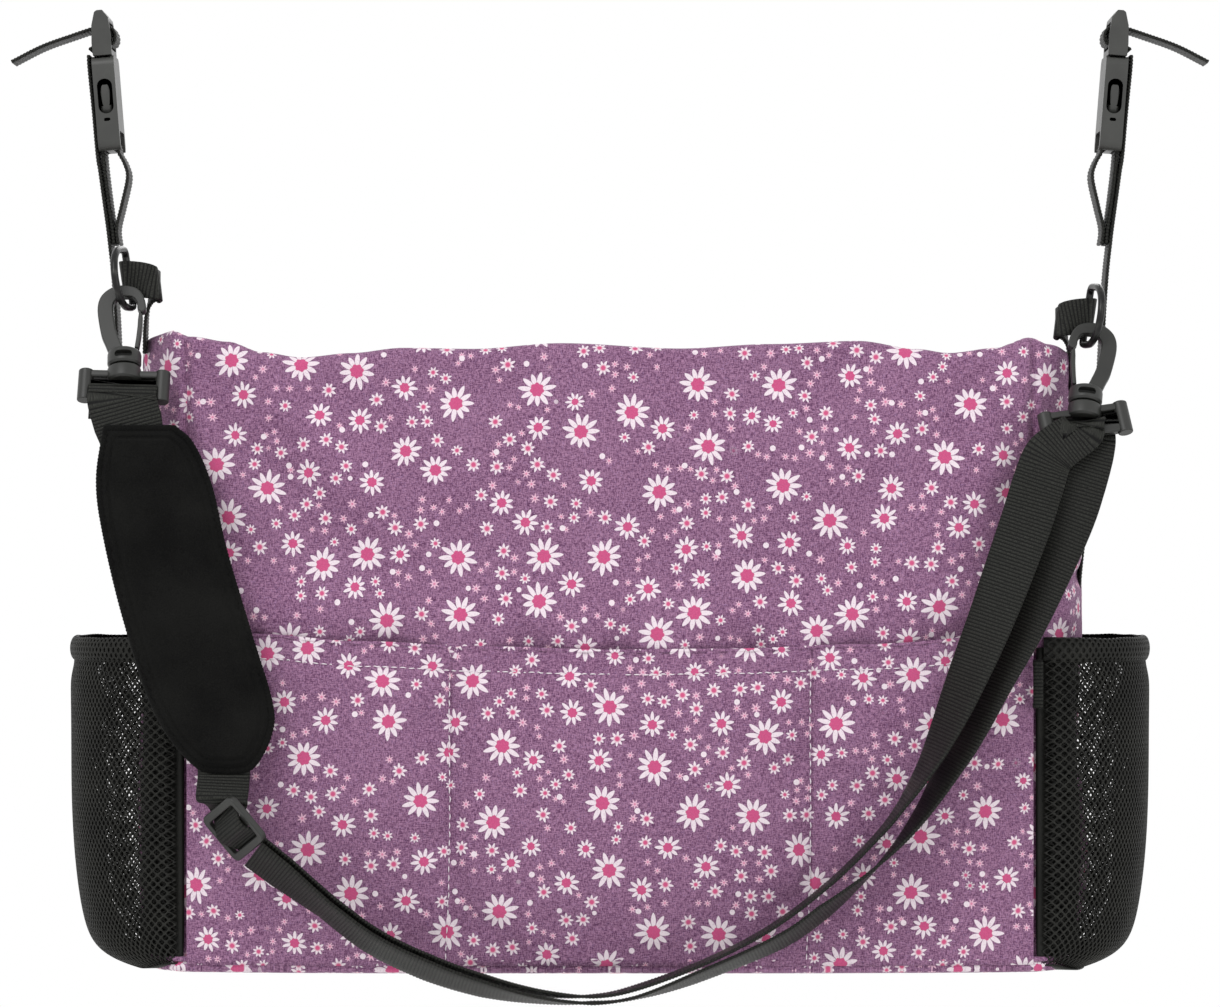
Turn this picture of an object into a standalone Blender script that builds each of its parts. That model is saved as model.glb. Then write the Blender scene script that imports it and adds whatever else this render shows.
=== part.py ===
"""A diaper bag hung by two stroller straps, with a padded shoulder strap clipped to its side rings.

Metres, +Z up, -Y towards the viewer of its front, +X to that viewer's right.
The origin lies midway between the two stroller loops, where a stroller's handle passes.
"""

import math

import bmesh
import bpy
from mathutils import Matrix, Vector

MM = 0.001
GAP = 0.3 * MM

# Bag body
SEAM_X = 204 * MM
SIDE_BULGE = 23 * MM
SEAM_Y = 52 * MM
FACE_CROWN = 10 * MM
TOP_Z = -89 * MM
TOP_CORNER_RISE = 9 * MM
WALL_BOTTOM_Z = -384 * MM
BASE_THICK = 4.5 * MM
CLOTH = 2.0 * MM

# Front pocket and mesh side pockets
POCKET_TOP_Z = -230 * MM
POCKET_DEPTH = 8 * MM
POCKET_STITCH_X = (-76 * MM, 97 * MM)
MESH_TOP_Z = -238 * MM
MESH_BULGE = 38 * MM
MESH_WALL = 2.0 * MM
HEM_HEIGHT = 11 * MM

# Webbing and hardware
WEB = 25 * MM
WEB_THICK = 1.6 * MM
RING_ROD = 1.8 * MM
STRAP_Y = 0.0
PIVOT_Y = -42 * MM

# Zip
ZIP_Z = -98 * MM
ZIP_HALF = 170 * MM
SLIDER_X = -150 * MM

RING_LEAN = 0.15
HOOK_LEAN = 0.42
BUCKLE_X = 244 * MM
BUCKLE_LEAN = 0.08
SLOT_H = 14 * MM

# Each side's sign, the pivot where hook and ring meet, and the turn of its swivel plate in radians
SIDES = {
    "left": {"sign": -1, "pivot": Vector((-234 * MM, PIVOT_Y, -61 * MM)), "plate_turn": -0.05},
    "right": {"sign": 1, "pivot": Vector((232 * MM, PIVOT_Y, -79 * MM)), "plate_turn": 0.28},
}

COLOURS = {
    "print_cloth": ((0.21, 0.09, 0.20), 0.9, 0.0),
    "mesh": ((0.02, 0.02, 0.02), 0.85, 0.0),
    "webbing": ((0.025, 0.027, 0.024), 0.8, 0.0),
    "plastic": ((0.03, 0.032, 0.03), 0.45, 0.0),
    "ring": ((0.04, 0.04, 0.042), 0.3, 0.6),
    "pad_cloth": ((0.015, 0.015, 0.017), 0.9, 0.0),
    "foam": ((0.12, 0.12, 0.12), 0.95, 0.0),
    "board": ((0.5, 0.5, 0.5), 0.7, 0.0),
    "zip_metal": ((0.05, 0.05, 0.05), 0.35, 0.7),
}


def clear_scene():
    for obj in list(bpy.data.objects):
        bpy.data.objects.remove(obj, do_unlink=True)


def material(name):
    found = bpy.data.materials.get(name)
    if found:
        return found
    colour, roughness, metallic = COLOURS[name]
    made = bpy.data.materials.new(name)
    made.use_nodes = True
    shader = made.node_tree.nodes["Principled BSDF"]
    shader.inputs["Base Color"].default_value = (*colour, 1)
    shader.inputs["Roughness"].default_value = roughness
    shader.inputs["Metallic"].default_value = metallic
    return made


def mesh_object(name, verts, faces, mat, origin=(0, 0, 0), smooth=True):
    """One closed mesh with its faces pointing out and its origin at the given point."""
    origin = Vector(origin)
    mesh = bpy.data.meshes.new(name)
    mesh.from_pydata([Vector(v) - origin for v in verts], [], faces)
    bm = bmesh.new()
    bm.from_mesh(mesh)
    bmesh.ops.recalc_face_normals(bm, faces=bm.faces)
    if bm.calc_volume(signed=True) < 0:
        bmesh.ops.reverse_faces(bm, faces=bm.faces)
    bm.to_mesh(mesh)
    bm.free()
    mesh.materials.append(material(mat))
    if smooth:
        mesh.shade_smooth()
        mesh.set_sharp_from_angle(angle=math.radians(35))
    obj = bpy.data.objects.new(name, mesh)
    obj.location = origin
    bpy.context.scene.collection.objects.link(obj)
    return obj


def curve_through(points, per_span=4):
    """A smooth curve through the given points, by Catmull-Rom spans."""
    pts = [Vector(p) for p in points]
    padded = [2 * pts[0] - pts[1], *pts, 2 * pts[-1] - pts[-2]]
    out = []
    for i in range(len(pts) - 1):
        a, b, c, d = padded[i : i + 4]
        for k in range(per_span):
            t = k / per_span
            slope, bend, twist = c - a, 2 * a - 5 * b + 4 * c - d, 3 * b - 3 * c + d - a
            out.append(0.5 * (2 * b + slope * t + bend * t * t + twist * t**3))
    out.append(pts[-1])
    return out


def sweep(name, centres, sections, mat, closed=False, origin=(0, 0, 0)):
    """Joins a row of equal cross-sections, each a list of offsets from its centre, into one solid."""
    count = len(sections[0])
    verts = [c + o for c, section in zip(centres, sections) for o in section]
    rows = len(centres)
    faces = []
    for i in range(rows if closed else rows - 1):
        j = (i + 1) % rows
        for k in range(count):
            m = (k + 1) % count
            faces.append((i * count + k, i * count + m, j * count + m, j * count + k))
    if not closed:
        faces.append(tuple(range(count)))
        faces.append(tuple((rows - 1) * count + k for k in range(count)))
    return mesh_object(name, verts, faces, mat, origin)


def tangents(points, closed=False):
    out = []
    last = len(points) - 1
    for i in range(len(points)):
        before = points[i - 1] if i or closed else points[0]
        after = points[(i + 1) % len(points)] if i < last or closed else points[last]
        out.append((after - before).normalized())
    return out


def ribbon(name, centres, acrosses, mat="webbing", width=WEB, thick=WEB_THICK, origin=(0, 0, 0)):
    """A flat strip along the centres; each across gives the direction of its width there."""
    sections = []
    for t, across in zip(tangents(centres), acrosses):
        w = (across - across.dot(t) * t).normalized() * width / 2
        n = t.cross(w).normalized() * thick / 2
        sections.append([w + n, w - n, -w - n, -w + n])
    return sweep(name, centres, sections, mat, origin=origin)


def tube(name, centres, radius, normal, mat, sides=8, closed=False, origin=(0, 0, 0)):
    """A round rod along a path that lies in the plane with this normal."""
    normal = Vector(normal).normalized()
    sections = []
    for t in tangents(centres, closed):
        side = t.cross(normal).normalized()
        ring = [2 * math.pi * k / sides for k in range(sides)]
        sections.append([side * math.cos(a) * radius + normal * math.sin(a) * radius for a in ring])
    return sweep(name, centres, sections, mat, closed, origin)


def shell(name, surface, us, vs, thick, mat, origin=(0, 0, 0)):
    """A sheet of the given thickness behind surface(u, v), which returns a point and the way in from it."""
    outer, inner = [], []
    for v in vs:
        for u in us:
            point, inward = surface(u, v)
            outer.append(point)
            inner.append(point + inward.normalized() * thick)
    nu, nv = len(us), len(vs)
    faces = []
    base = nu * nv
    for j in range(nv - 1):
        for i in range(nu - 1):
            a = j * nu + i
            quad = (a, a + 1, a + nu + 1, a + nu)
            faces.append(quad)
            faces.append(tuple(base + q for q in reversed(quad)))
    rim = [*range(nu), *(j * nu + nu - 1 for j in range(1, nv))]
    rim += [*((nv - 1) * nu + i for i in range(nu - 2, -1, -1)), *(j * nu for j in range(nv - 2, 0, -1))]
    for a, b in zip(rim, rim[1:] + rim[:1]):
        faces.append((b, a, base + a, base + b))
    return mesh_object(name, outer + inner, faces, mat, origin)


def extrude_outline(name, outline, thick, place, mat, origin=(0, 0, 0), smooth=True):
    """A flat plate: an outline in x and y, thick along z about its middle, put in place by a matrix."""
    count = len(outline)
    verts = [place @ Vector((x, y, z)) for z in (-thick / 2, thick / 2) for x, y in outline]
    faces = [tuple(range(count)), tuple(range(2 * count - 1, count - 1, -1))]
    for k in range(count):
        m = (k + 1) % count
        faces.append((k, m, count + m, count + k))
    return mesh_object(name, verts, faces, mat, origin, smooth)


def frame_plate(name, outer, inner, thick, place, mat, origin=(0, 0, 0)):
    """A flat plate with one window; outer and inner outlines have equal numbers of points."""
    count = len(outer)
    loops = [(outer, -1), (outer, 1), (inner, 1), (inner, -1)]
    verts = [place @ Vector((x, y, s * thick / 2)) for loop, s in loops for x, y in loop]
    faces = []
    for r in range(4):
        a, b = r * count, ((r + 1) % 4) * count
        for k in range(count):
            m = (k + 1) % count
            faces.append((a + k, a + m, b + m, b + k))
    return mesh_object(name, verts, faces, mat, origin)


def rounded_box(width, height, radius, steps=3):
    """The outline of a rectangle with round corners, anticlockwise about the origin."""
    out = []
    for cx, cy, start in ((1, 1, 0), (-1, 1, 90), (-1, -1, 180), (1, -1, 270)):
        for k in range(steps + 1):
            a = math.radians(start + 90 * k / steps)
            x = cx * (width / 2 - radius) + radius * math.cos(a)
            y = cy * (height / 2 - radius) + radius * math.sin(a)
            out.append((x, y))
    return out


def spaced(low, high, count):
    return [low + (high - low) * k / count for k in range(count + 1)]


def cut(target, cutter):
    """Subtracts a helper from a piece; the helper stays in the scene, hidden."""
    cutter.hide_render = True
    cutter.display_type = "WIRE"
    modifier = target.modifiers.new(cutter.name, "BOOLEAN")
    modifier.operation = "DIFFERENCE"
    modifier.object = cutter


def join(target, helper):
    """Unites a helper shape with a piece; the helper stays in the scene, hidden."""
    helper.hide_render = True
    helper.display_type = "WIRE"
    modifier = target.modifiers.new(helper.name, "BOOLEAN")
    modifier.operation = "UNION"
    modifier.object = helper


def block(name, low, high, mat, origin=(0, 0, 0)):
    (x0, y0, z0), (x1, y1, z1) = low, high
    outline = [(x0, y0), (x1, y0), (x1, y1), (x0, y1)]
    place = Matrix.Translation((0, 0, (z0 + z1) / 2))
    return extrude_outline(name, outline, z1 - z0, place, mat, origin, smooth=False)


# ---------------------------------------------------------------- bag body


def top_z(x):
    return TOP_Z + TOP_CORNER_RISE * min(1, abs(x) / SEAM_X) ** 4


def face_y(x, z):
    """How far the front or back stands out from the middle: full in the middle, drawn in at seams and top."""
    across = 1 - (abs(x) / SEAM_X) ** 4
    height = (z - WALL_BOTTOM_Z) / (TOP_Z - WALL_BOTTOM_Z)
    return SEAM_Y + FACE_CROWN * across * (1 - max(0, height) ** 4)


def side_x(y):
    return SEAM_X + SIDE_BULGE * math.sqrt(max(0, 1 - (y / SEAM_Y) ** 2))


def closure_x(y):
    """Half the width of the top closure at this depth, clear of the gusset's inner face."""
    return SEAM_X + (SIDE_BULGE - 5 * MM) * math.sqrt(max(0, 1 - (y / (SEAM_Y - 2.6 * MM)) ** 2))


def face_panel(name, side):
    def surface(u, v):
        z = WALL_BOTTOM_Z + v * (top_z(u) - WALL_BOTTOM_Z)
        return Vector((u, side * face_y(u, z), z)), Vector((0, -side, 0))

    half = SEAM_X - GAP
    us = [half * math.sin(math.radians(a)) for a in spaced(-90, 90, 12)]
    return shell(name, surface, us, spaced(0, 1, 6), CLOTH, "print_cloth")


def gusset(name, sign):
    def surface(u, v):
        y = SEAM_Y * math.sin(u)
        x = SEAM_X + SIDE_BULGE * math.cos(u)
        top = top_z(SEAM_X) + 4 * MM * math.cos(u)
        z = WALL_BOTTOM_Z + v * (top - WALL_BOTTOM_Z)
        return Vector((sign * x, y, z)), Vector((-sign * math.cos(u), -0.4 * math.sin(u), 0))

    return shell(name, surface, spaced(-math.pi / 2, math.pi / 2, 10), [0, 0.5, 1], CLOTH, "print_cloth")


def plan_outline():
    """The bag's outline seen from above at its foot."""
    xs = [SEAM_X * math.sin(math.radians(a)) for a in spaced(-90, 90, 8)]
    front = [(x, -face_y(x, WALL_BOTTOM_Z)) for x in xs]
    angles = spaced(-math.pi / 2, math.pi / 2, 8)[1:-1]
    side = [(SEAM_X + SIDE_BULGE * math.cos(a), SEAM_Y * math.sin(a)) for a in angles]
    back = [(x, -y) for x, y in reversed(front)]
    return front + side + back + [(-x, y) for x, y in reversed(side)]


def bag_shell():
    face_panel("front_panel", -1)
    face_panel("back_panel", 1)
    gusset("left_gusset", -1)
    gusset("right_gusset", 1)
    base_place = Matrix.Translation((0, 0, WALL_BOTTOM_Z - GAP - BASE_THICK / 2))
    extrude_outline("base_panel", plan_outline(), BASE_THICK, base_place, "print_cloth")
    board_place = Matrix.Translation((0, 0, WALL_BOTTOM_Z + 1.5 * MM))
    extrude_outline("base_board", rounded_box(396 * MM, 96 * MM, 12 * MM), 3 * MM, board_place, "board")


def top_closure():
    """Two fabric strips slope down from the top edges to a zip that lies between them."""
    for name, side in (("top_panel_front", -1), ("top_panel_rear", 1)):

        def surface(u, v, side=side):
            y = side * (12.3 * MM + v * (SEAM_Y - CLOTH - 12.9 * MM))
            x = u * closure_x(y)
            z = ZIP_Z + v * (top_z(x) - 1.5 * MM - ZIP_Z) + 2 * MM * math.sin(math.pi * v)
            return Vector((x, y, z)), Vector((0, 0, -1))

        shell(name, surface, spaced(-1, 1, 12), spaced(0, 1, 4), 1.5 * MM, "print_cloth")
    for name, side in (("zip_tape_front", -1), ("zip_tape_rear", 1)):
        near, far = sorted((side * 2.2 * MM, side * 12 * MM))
        block(name, (-ZIP_HALF, near, ZIP_Z - 1.5 * MM), (ZIP_HALF, far, ZIP_Z - 0.7 * MM), "webbing")
    coil_low, coil_high = ZIP_Z - 2 * MM, ZIP_Z - 0.2 * MM
    block("zip_coil", (-ZIP_HALF, -1.8 * MM, coil_low), (ZIP_HALF, 1.8 * MM, coil_high), "webbing")
    for name, sign in (("zip_end_tab_left", -1), ("zip_end_tab_right", 1)):
        low, high = sorted((sign * (ZIP_HALF + GAP), sign * (side_x(12 * MM) - CLOTH - 0.8 * MM)))
        block(name, (low, -12 * MM, ZIP_Z - 1.5 * MM), (high, 12 * MM, ZIP_Z), "print_cloth")


def zip_pull():
    """A slider body astride the coil, with its pull tab hinged under a small bridge on top of it."""
    slider_place = Matrix.Translation((SLIDER_X, 0, ZIP_Z + 1.3 * MM))
    outline = rounded_box(11 * MM, 9 * MM, 2.5 * MM)
    slider = extrude_outline("zip_slider", outline, 2.4 * MM, slider_place, "zip_metal", (SLIDER_X, 0, ZIP_Z))
    points = [Vector((SLIDER_X + 4 * MM * math.cos(a), 0, ZIP_Z + 2 * MM + 3.4 * MM * math.sin(a)))
              for a in spaced(0, math.pi, 8)]
    join(slider, tube("zip_bridge_helper", points, 0.8 * MM, (0, 1, 0), "zip_metal", 6))
    pin_z = ZIP_Z + 3.5 * MM
    tab_place = Matrix.Translation((SLIDER_X - 12.8 * MM, 0, pin_z))
    outer = rounded_box(27.2 * MM, 7 * MM, 3 * MM)
    inner = [(x + 9.4 * MM, y) for x, y in rounded_box(5.2 * MM, 4 * MM, 1 * MM)]
    frame_plate("zip_pull", outer, inner, 1.2 * MM, tab_place, "zip_metal", (SLIDER_X, 0, pin_z))


def pocket_depth(x, v):
    """Clear depth of the front pocket: nothing along its stitch lines, sides and foot."""
    edges = (-SEAM_X, *POCKET_STITCH_X, SEAM_X)
    for low, high in zip(edges, edges[1:]):
        if low <= x <= high:
            share = math.sin(math.pi * (x - low) / (high - low)) ** 0.5
            return POCKET_DEPTH * share * min(1, 2.2 * v)
    return 0.0


def front_pocket():
    def surface(u, v):
        top = POCKET_TOP_Z - 3 * MM * math.sin(math.pi * (u / SEAM_X + 1) / 2)
        z = WALL_BOTTOM_Z + v * (top - WALL_BOTTOM_Z)
        y = -face_y(u, z) - GAP - pocket_depth(u, v) - 1.6 * MM
        return Vector((u, y, z)), Vector((0, 1, 0))

    edges = (-SEAM_X + GAP, *POCKET_STITCH_X, SEAM_X - GAP)
    us = []
    for low, high in zip(edges, edges[1:]):
        us += [low + (high - low) * s for s in (0, 0.03, 0.12, 0.3, 0.5, 0.7, 0.88, 0.97)]
    us.append(edges[-1])
    shell("front_pocket_panel", surface, us, [0, 0.12, 0.25, 0.45, 0.72, 1], 1.6 * MM, "print_cloth")


def mesh_pocket(name, sign):
    """A pouch on the gusset: a bowed mesh wall drawn in at the foot, closed below and open above."""
    inner_x, reach = SEAM_X + 1.5 * MM, SIDE_BULGE + MESH_BULGE - 1.5 * MM

    def wall(u, v):
        full = reach * (1 - 0.16 * (1 - v) ** 3)
        point = Vector((sign * (inner_x + full * math.cos(u) ** 0.8), (SEAM_Y + 3 * MM) * math.sin(u), 0))
        point.z = WALL_BOTTOM_Z + v * (MESH_TOP_Z - WALL_BOTTOM_Z)
        return point, Vector((-sign * math.cos(u), -math.sin(u), 0))

    angles = spaced(-1.42, 1.42, 12)
    rows, thick = [0, 0.15, 0.5, 1], MESH_WALL
    outer, inner = [], []
    for v in rows:
        for a in angles:
            point, inward = wall(a, v)
            outer.append(point)
            inner.append(point + inward * thick)
    count, base = len(angles), len(outer)
    near_ys = [0.97 * SEAM_Y * math.sin(a) for a in angles]
    near = [Vector((sign * (side_x(y) + GAP + 0.4 * MM), y, 0)) for y in near_ys]
    floor_low = [Vector((p.x, p.y, WALL_BOTTOM_Z)) for p in near]
    floor_high = [Vector((p.x, p.y, WALL_BOTTOM_Z + thick)) for p in near]
    for k in range(count):
        inner[k].z = WALL_BOTTOM_Z + thick
    verts = outer + inner + floor_low + floor_high
    low, high = 2 * base, 2 * base + count
    faces = []
    for j in range(len(rows) - 1):
        for i in range(count - 1):
            a = j * count + i
            quad = (a, a + 1, a + count + 1, a + count)
            faces += [quad, tuple(base + q for q in reversed(quad))]
        for i in (0, count - 1):
            a = j * count + i
            faces.append((a, a + count, base + a + count, base + a))
    top = (len(rows) - 1) * count
    for i in range(count - 1):
        faces.append((top + i, top + i + 1, base + top + i + 1, base + top + i))
        faces.append((i, i + 1, low + i + 1, low + i))
        faces.append((base + i, base + i + 1, high + i + 1, high + i))
        faces.append((low + i, low + i + 1, high + i + 1, high + i))
    for i in (0, count - 1):
        faces.append((i, low + i, high + i, base + i))
    mesh_object(f"{name}_mesh_pocket", verts, faces, "mesh")

    def hem(u, v):
        point, inward = wall(u, 1)
        point.z = MESH_TOP_Z + GAP + v * HEM_HEIGHT
        return point - inward * 0.6 * MM, inward

    shell(f"{name}_pocket_hem", hem, angles, [0, 1], 3.2 * MM, "mesh")


def pocket_tab(name, sign):
    """A folded elastic tab on the front seam beside the mesh pocket's mouth."""
    x = sign * (SEAM_X + 1.4 * MM)
    low, high = sorted((x - 2.4 * MM, x + 2.4 * MM))
    block(f"{name}_pocket_tab", (low, -63.5 * MM, -262 * MM), (high, -56.5 * MM, -236 * MM), "webbing")


# ---------------------------------------------------------------- side rings, loops and stroller straps


def ring_up(side):
    """The direction of the ring's straight bar, which leans outwards."""
    return Vector((side["sign"] * RING_LEAN, 0, 1)).normalized()


def d_ring(name, side):
    """A D-shaped ring standing edge-on; its straight bar is the hinge line in the webbing loop."""
    up = ring_up(side)
    centre = side["pivot"] + up * 7.2 * MM
    bar_y, half, front = 9 * MM, 14 * MM, 12.5 * MM
    path = [(bar_y, h) for h in (half - 2 * MM, 0, -half + 2 * MM)] + [(bar_y - 2 * MM, -half)]
    for a in spaced(-90, 90, 8):
        path.append((-front * math.cos(math.radians(a)), half * math.sin(math.radians(a))))
    path.append((bar_y - 2 * MM, half))
    path = [centre + Vector((0, y, 0)) + up * h for y, h in path]
    bar = centre + Vector((0, bar_y, 0))
    normal = up.cross(Vector((0, 1, 0)))
    tube(f"{name}_d_ring", path, RING_ROD, normal, "ring", 8, True, bar)
    return bar


def side_loop(name, side, bar):
    """Webbing sewn to the gusset's top, curling out and round the ring's bar."""
    s = side["sign"]
    grip = RING_ROD + 0.5 * MM + WEB_THICK / 2
    wrap = [bar + Vector((grip * s * math.cos(a), grip * math.sin(a), 0)) for a in spaced(-1.9, 1.9, 8)]
    lead = [
        bar + Vector((-s * 4.6 * MM, 3.1 * MM, 0)),
        bar + Vector((-s * 9.5 * MM, 4 * MM, 1 * MM)),
        Vector((s * 220.5 * MM, -28.5 * MM, max(bar.z, -64 * MM))),
        Vector((s * 218.8 * MM, -28 * MM, -67 * MM)),
        Vector((s * 221.2 * MM, -28 * MM, -74 * MM)),
    ]
    path = wrap + curve_through(lead, 6)
    upright, level = ring_up(side), Vector((0, 1, 0))
    acrosses = [upright] * len(wrap) + turning([upright] + [level] * (len(lead) - 1), 6)
    ribbon(f"{name}_side_loop", path, acrosses, width=17 * MM)


def buckle_frame(side):
    """The buckle's frame: x along the bag's depth, y up the buckle, z out through its thickness."""
    s = side["sign"]
    up = Vector((s * BUCKLE_LEAN, 0, 1)).normalized()
    out = Vector((s, 0, -BUCKLE_LEAN)).normalized()
    frame = Matrix.Identity(4)
    for column, axis in enumerate((up.cross(out), up, out)):
        for row in range(3):
            frame[row][column] = axis[row]
    frame.translation = Vector((s * BUCKLE_X, STRAP_Y, SLOT_H)) - up * SLOT_H
    return frame


def stroller_strap(name, side):
    """Webbing sewn down the gusset, rising past the buckle, with a short loop that holds the socket."""
    s = side["sign"]
    frame = buckle_frame(side)
    wide = Vector((0, 1, 0))
    low = [(228.2, -224), (229.2, -200), (233, -165), (238, -125), (240, -95), (241.2, -70), (242.6, -50)]
    high = [(4.1, -36), (4.4, -28), (5.2, -14), (6.0, 0), (6.6, 8), (6.8, 30), (7.2, 50), (7.0, 57)]
    points = [Vector((s * x * MM, STRAP_Y, z * MM)) for x, z in low]
    points += [frame @ Vector((0, h * MM, n * MM)) for n, h in high]
    path = curve_through(points, 2)
    ribbon(f"{name}_stroller_strap", path, [wide] * len(path))
    loop = [(-0.1, -36), (0, -28), (-3.4, -17), (-7.2, -4), (-6.2, 3), (-4.0, 8), (-3.6, 10.8), (-3.0, 13.2),
            (-1.6, 14.5), (0, 14.8), (1.6, 14.5), (3.0, 13.2), (3.6, 10.6), (3.7, 7), (3.6, 0), (3.0, -14),
            (2.2, -28), (2.0, -36)]
    path = curve_through([frame @ Vector((0, h * MM, n * MM)) for n, h in loop], 2)
    ribbon(f"{name}_buckle_loop", path, [wide] * len(path))


def buckle(name, side):
    """A side-release buckle standing edge-on: socket below, clip with its ladder-lock above."""
    frame = buckle_frame(side)

    def plate(label, width, low, high, thick, radius, steps=2, offset=0.0):
        place = frame @ Matrix.Translation((0, (low + high) / 2, offset))
        outline = rounded_box(width, high - low, radius, steps)
        return extrude_outline(f"{name}_{label}", outline, thick, place, "plastic")

    low, seam, top = 9.5 * MM, 56 * MM, 78 * MM
    socket = plate("buckle_socket", 35 * MM, low, seam - GAP, 10.4 * MM, 4 * MM, 3)
    half = [(12, 22), (15.6, 26), (19, 28), (19, 44), (15.6, 45), (15.6, 60)]
    hollow = [(a * MM, b * MM) for a, b in half] + [(-a * MM, b * MM) for a, b in reversed(half)]
    cut(socket, extrude_outline(f"{name}_socket_cavity", hollow, 7.4 * MM, frame, "plastic", smooth=False))
    cut(socket, plate("socket_slot", 27 * MM, 12.5 * MM, 18.8 * MM, 16 * MM, 1 * MM, 1))
    for index, offset in enumerate((-5.8 * MM, 5.8 * MM)):
        cut(socket, plate(f"socket_relief_{index}", 27 * MM, 4 * MM, 15 * MM, 8 * MM, 1 * MM, 1, offset))

    clip = plate("buckle_clip", 32 * MM, seam, top, 9 * MM, 3 * MM, 3)
    for index, low in enumerate((59.1 * MM, 68.1 * MM)):
        cut(clip, plate(f"clip_window_{index}", 27 * MM, low, low + 4.2 * MM, 14 * MM, 1 * MM, 1))
    join(clip, plate("clip_tongue", 8 * MM, 30 * MM, seam + 1 * MM, 4 * MM, 2 * MM, 1))
    for where, turn in (("front", -side["sign"]), ("rear", side["sign"])):
        arm = [(8.6, 55.7), (12.4, 55.7), (13.0, 46), (15.2, 43), (15.3, 31), (12.4, 25.4), (9.6, 27),
               (8.8, 42)]
        outline = [(turn * a * MM, b * MM) for a, b in arm]
        root = frame @ Vector((turn * 10.5 * MM, 55.7 * MM, 0))
        extrude_outline(f"{name}_{where}_prong", outline, 5.4 * MM, frame, "plastic", root)


def strap_tail(name, side):
    """The strap's free end: round the ladder-lock's bar and out to its cut end."""
    s = side["sign"]
    frame = buckle_frame(side)
    turn = [(6.4, 59.2), (4.6, 60.6), (0, 61.2), (-4.6, 61.4), (-6.3, 63.2), (-6.6, 66), (-5.6, 68.6),
            (-3, 70), (2, 70.2), (5.4, 69.4)]
    points = [frame @ Vector((0, h * MM, n * MM)) for n, h in turn]
    points += [Vector((s * x * MM, STRAP_Y, z * MM)) for x, z in ((262, 66), (277, 60.6), (292, 53))]
    path = curve_through(points, 2)
    ribbon(f"{name}_strap_tail", path, [Vector((0, 1, 0))] * len(path), width=24.6 * MM)


# ---------------------------------------------------------------- shoulder strap


def hook_frame(side):
    """The hook's own frame: its origin at the pivot, its length down its -Y, its face towards the front."""
    down = Vector((side["plate_turn"] * -0.35, -math.sin(HOOK_LEAN), -math.cos(HOOK_LEAN))).normalized()
    face = Vector((0, -1, 0))
    face = (face - face.dot(down) * down).normalized()
    frame = Matrix.Identity(4)
    for column, axis in enumerate(((-down).cross(face).normalized(), -down, face)):
        for row in range(3):
            frame[row][column] = axis[row]
    frame.translation = side["pivot"]
    return frame


HOOK_OUTLINE_OUTER = ((-4.5, -35), (-9.6, -22), (-11.6, -10), (-11.2, -3), (-8, 1.8), (-3, 3.6), (2, 3.4),
                      (6.4, 1.2), (9.2, -3.4), (10.2, -9.4), (8.0, -11.4))
HOOK_OUTLINE_INNER = ((6.0, -9.4), (5.6, -5.6), (3.4, -3.0), (0, -2.6), (-3, -3.0), (-5.2, -5.8), (-5.6, -10),
                      (-4.2, -20), (-1.0, -29), (4.5, -31), (4.5, -35))


def snap_hook(name, side):
    """A swivel snap hook: the hook turns in its plate, and a sprung gate closes it."""
    frame = hook_frame(side)
    mirror = 1 if side["sign"] < 0 else -1
    outline = [(mirror * x * MM, y * MM) for x, y in HOOK_OUTLINE_OUTER + HOOK_OUTLINE_INNER]
    if mirror < 0:
        outline.reverse()
    hook = extrude_outline(f"{name}_hook", outline, 6.4 * MM, frame, "plastic", side["pivot"])
    profile = ((7.2, -33.5), (7.4, -36.5), (7.0, -39.6), (3.0, -40), (3.0, -45.6), (4.6, -46.1),
               (4.6, -47.3))
    join(hook, turned(f"{name}_hook_collar", profile, frame))

    gate = ((4.9, -30.2), (6.9, -30.2), (8.4, -19.0), (8.6, -12.4), (6.8, -11.4), (6.2, -19.0))
    outline = [(mirror * x * MM, y * MM) for x, y in gate]
    if mirror < 0:
        outline.reverse()
    root = frame @ Vector((mirror * 5.9 * MM, -30 * MM, 0))
    extrude_outline(f"{name}_hook_gate", outline, 5 * MM, frame, "plastic", root)
    swivel_plate(name, side, frame)
    return frame


def turned(name, profile, frame, sides=14):
    """A helper turned about the hook's long axis from (radius, height) pairs, top to bottom."""
    verts, faces = [], []
    for r, h in profile:
        for k in range(sides):
            a = 2 * math.pi * k / sides
            verts.append(frame @ Vector((r * math.cos(a) * MM, h * MM, r * math.sin(a) * MM)))
    for j in range(len(profile) - 1):
        for k in range(sides):
            m = (k + 1) % sides
            faces.append((j * sides + k, j * sides + m, (j + 1) * sides + m, (j + 1) * sides + k))
    faces.append(tuple(range(sides)))
    faces.append(tuple((len(profile) - 1) * sides + k for k in range(sides)))
    helper = mesh_object(name, verts, faces, "plastic")
    helper.hide_render = True
    helper.display_type = "WIRE"
    return helper


def plate_frame(side, frame):
    """The swivel plate's frame: turned in its own plane so that the strap leaves along its lean."""
    return frame @ Matrix.Translation((0, -47 * MM, 0)) @ Matrix.Rotation(side["plate_turn"], 4, "Z")


def swivel_plate(name, side, frame):
    """The swivel plate: a socket for the hook's stem above a bar that carries the webbing."""
    place = plate_frame(side, frame)
    outer = rounded_box(37 * MM, 15 * MM, 3 * MM)
    inner = [(x, y - 2.0 * MM) for x, y in rounded_box(27.5 * MM, 6.4 * MM, 1.5 * MM)]
    outer = [(x, y - 2.5 * MM) for x, y in outer]
    plate = frame_plate(f"{name}_swivel_plate", outer, inner, 5 * MM, place, "plastic", side["pivot"])
    boss = turned(f"{name}_plate_boss", ((7.0, -40.4), (7.4, -41), (7.4, -46.5), (6.4, -47.2)), frame)
    join(plate, boss)
    stem = turned(f"{name}_stem_bore", ((3.3, -40.0), (3.3, -45.3), (4.9, -45.8), (4.9, -52.0)), frame)
    cut(plate, stem)


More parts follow.
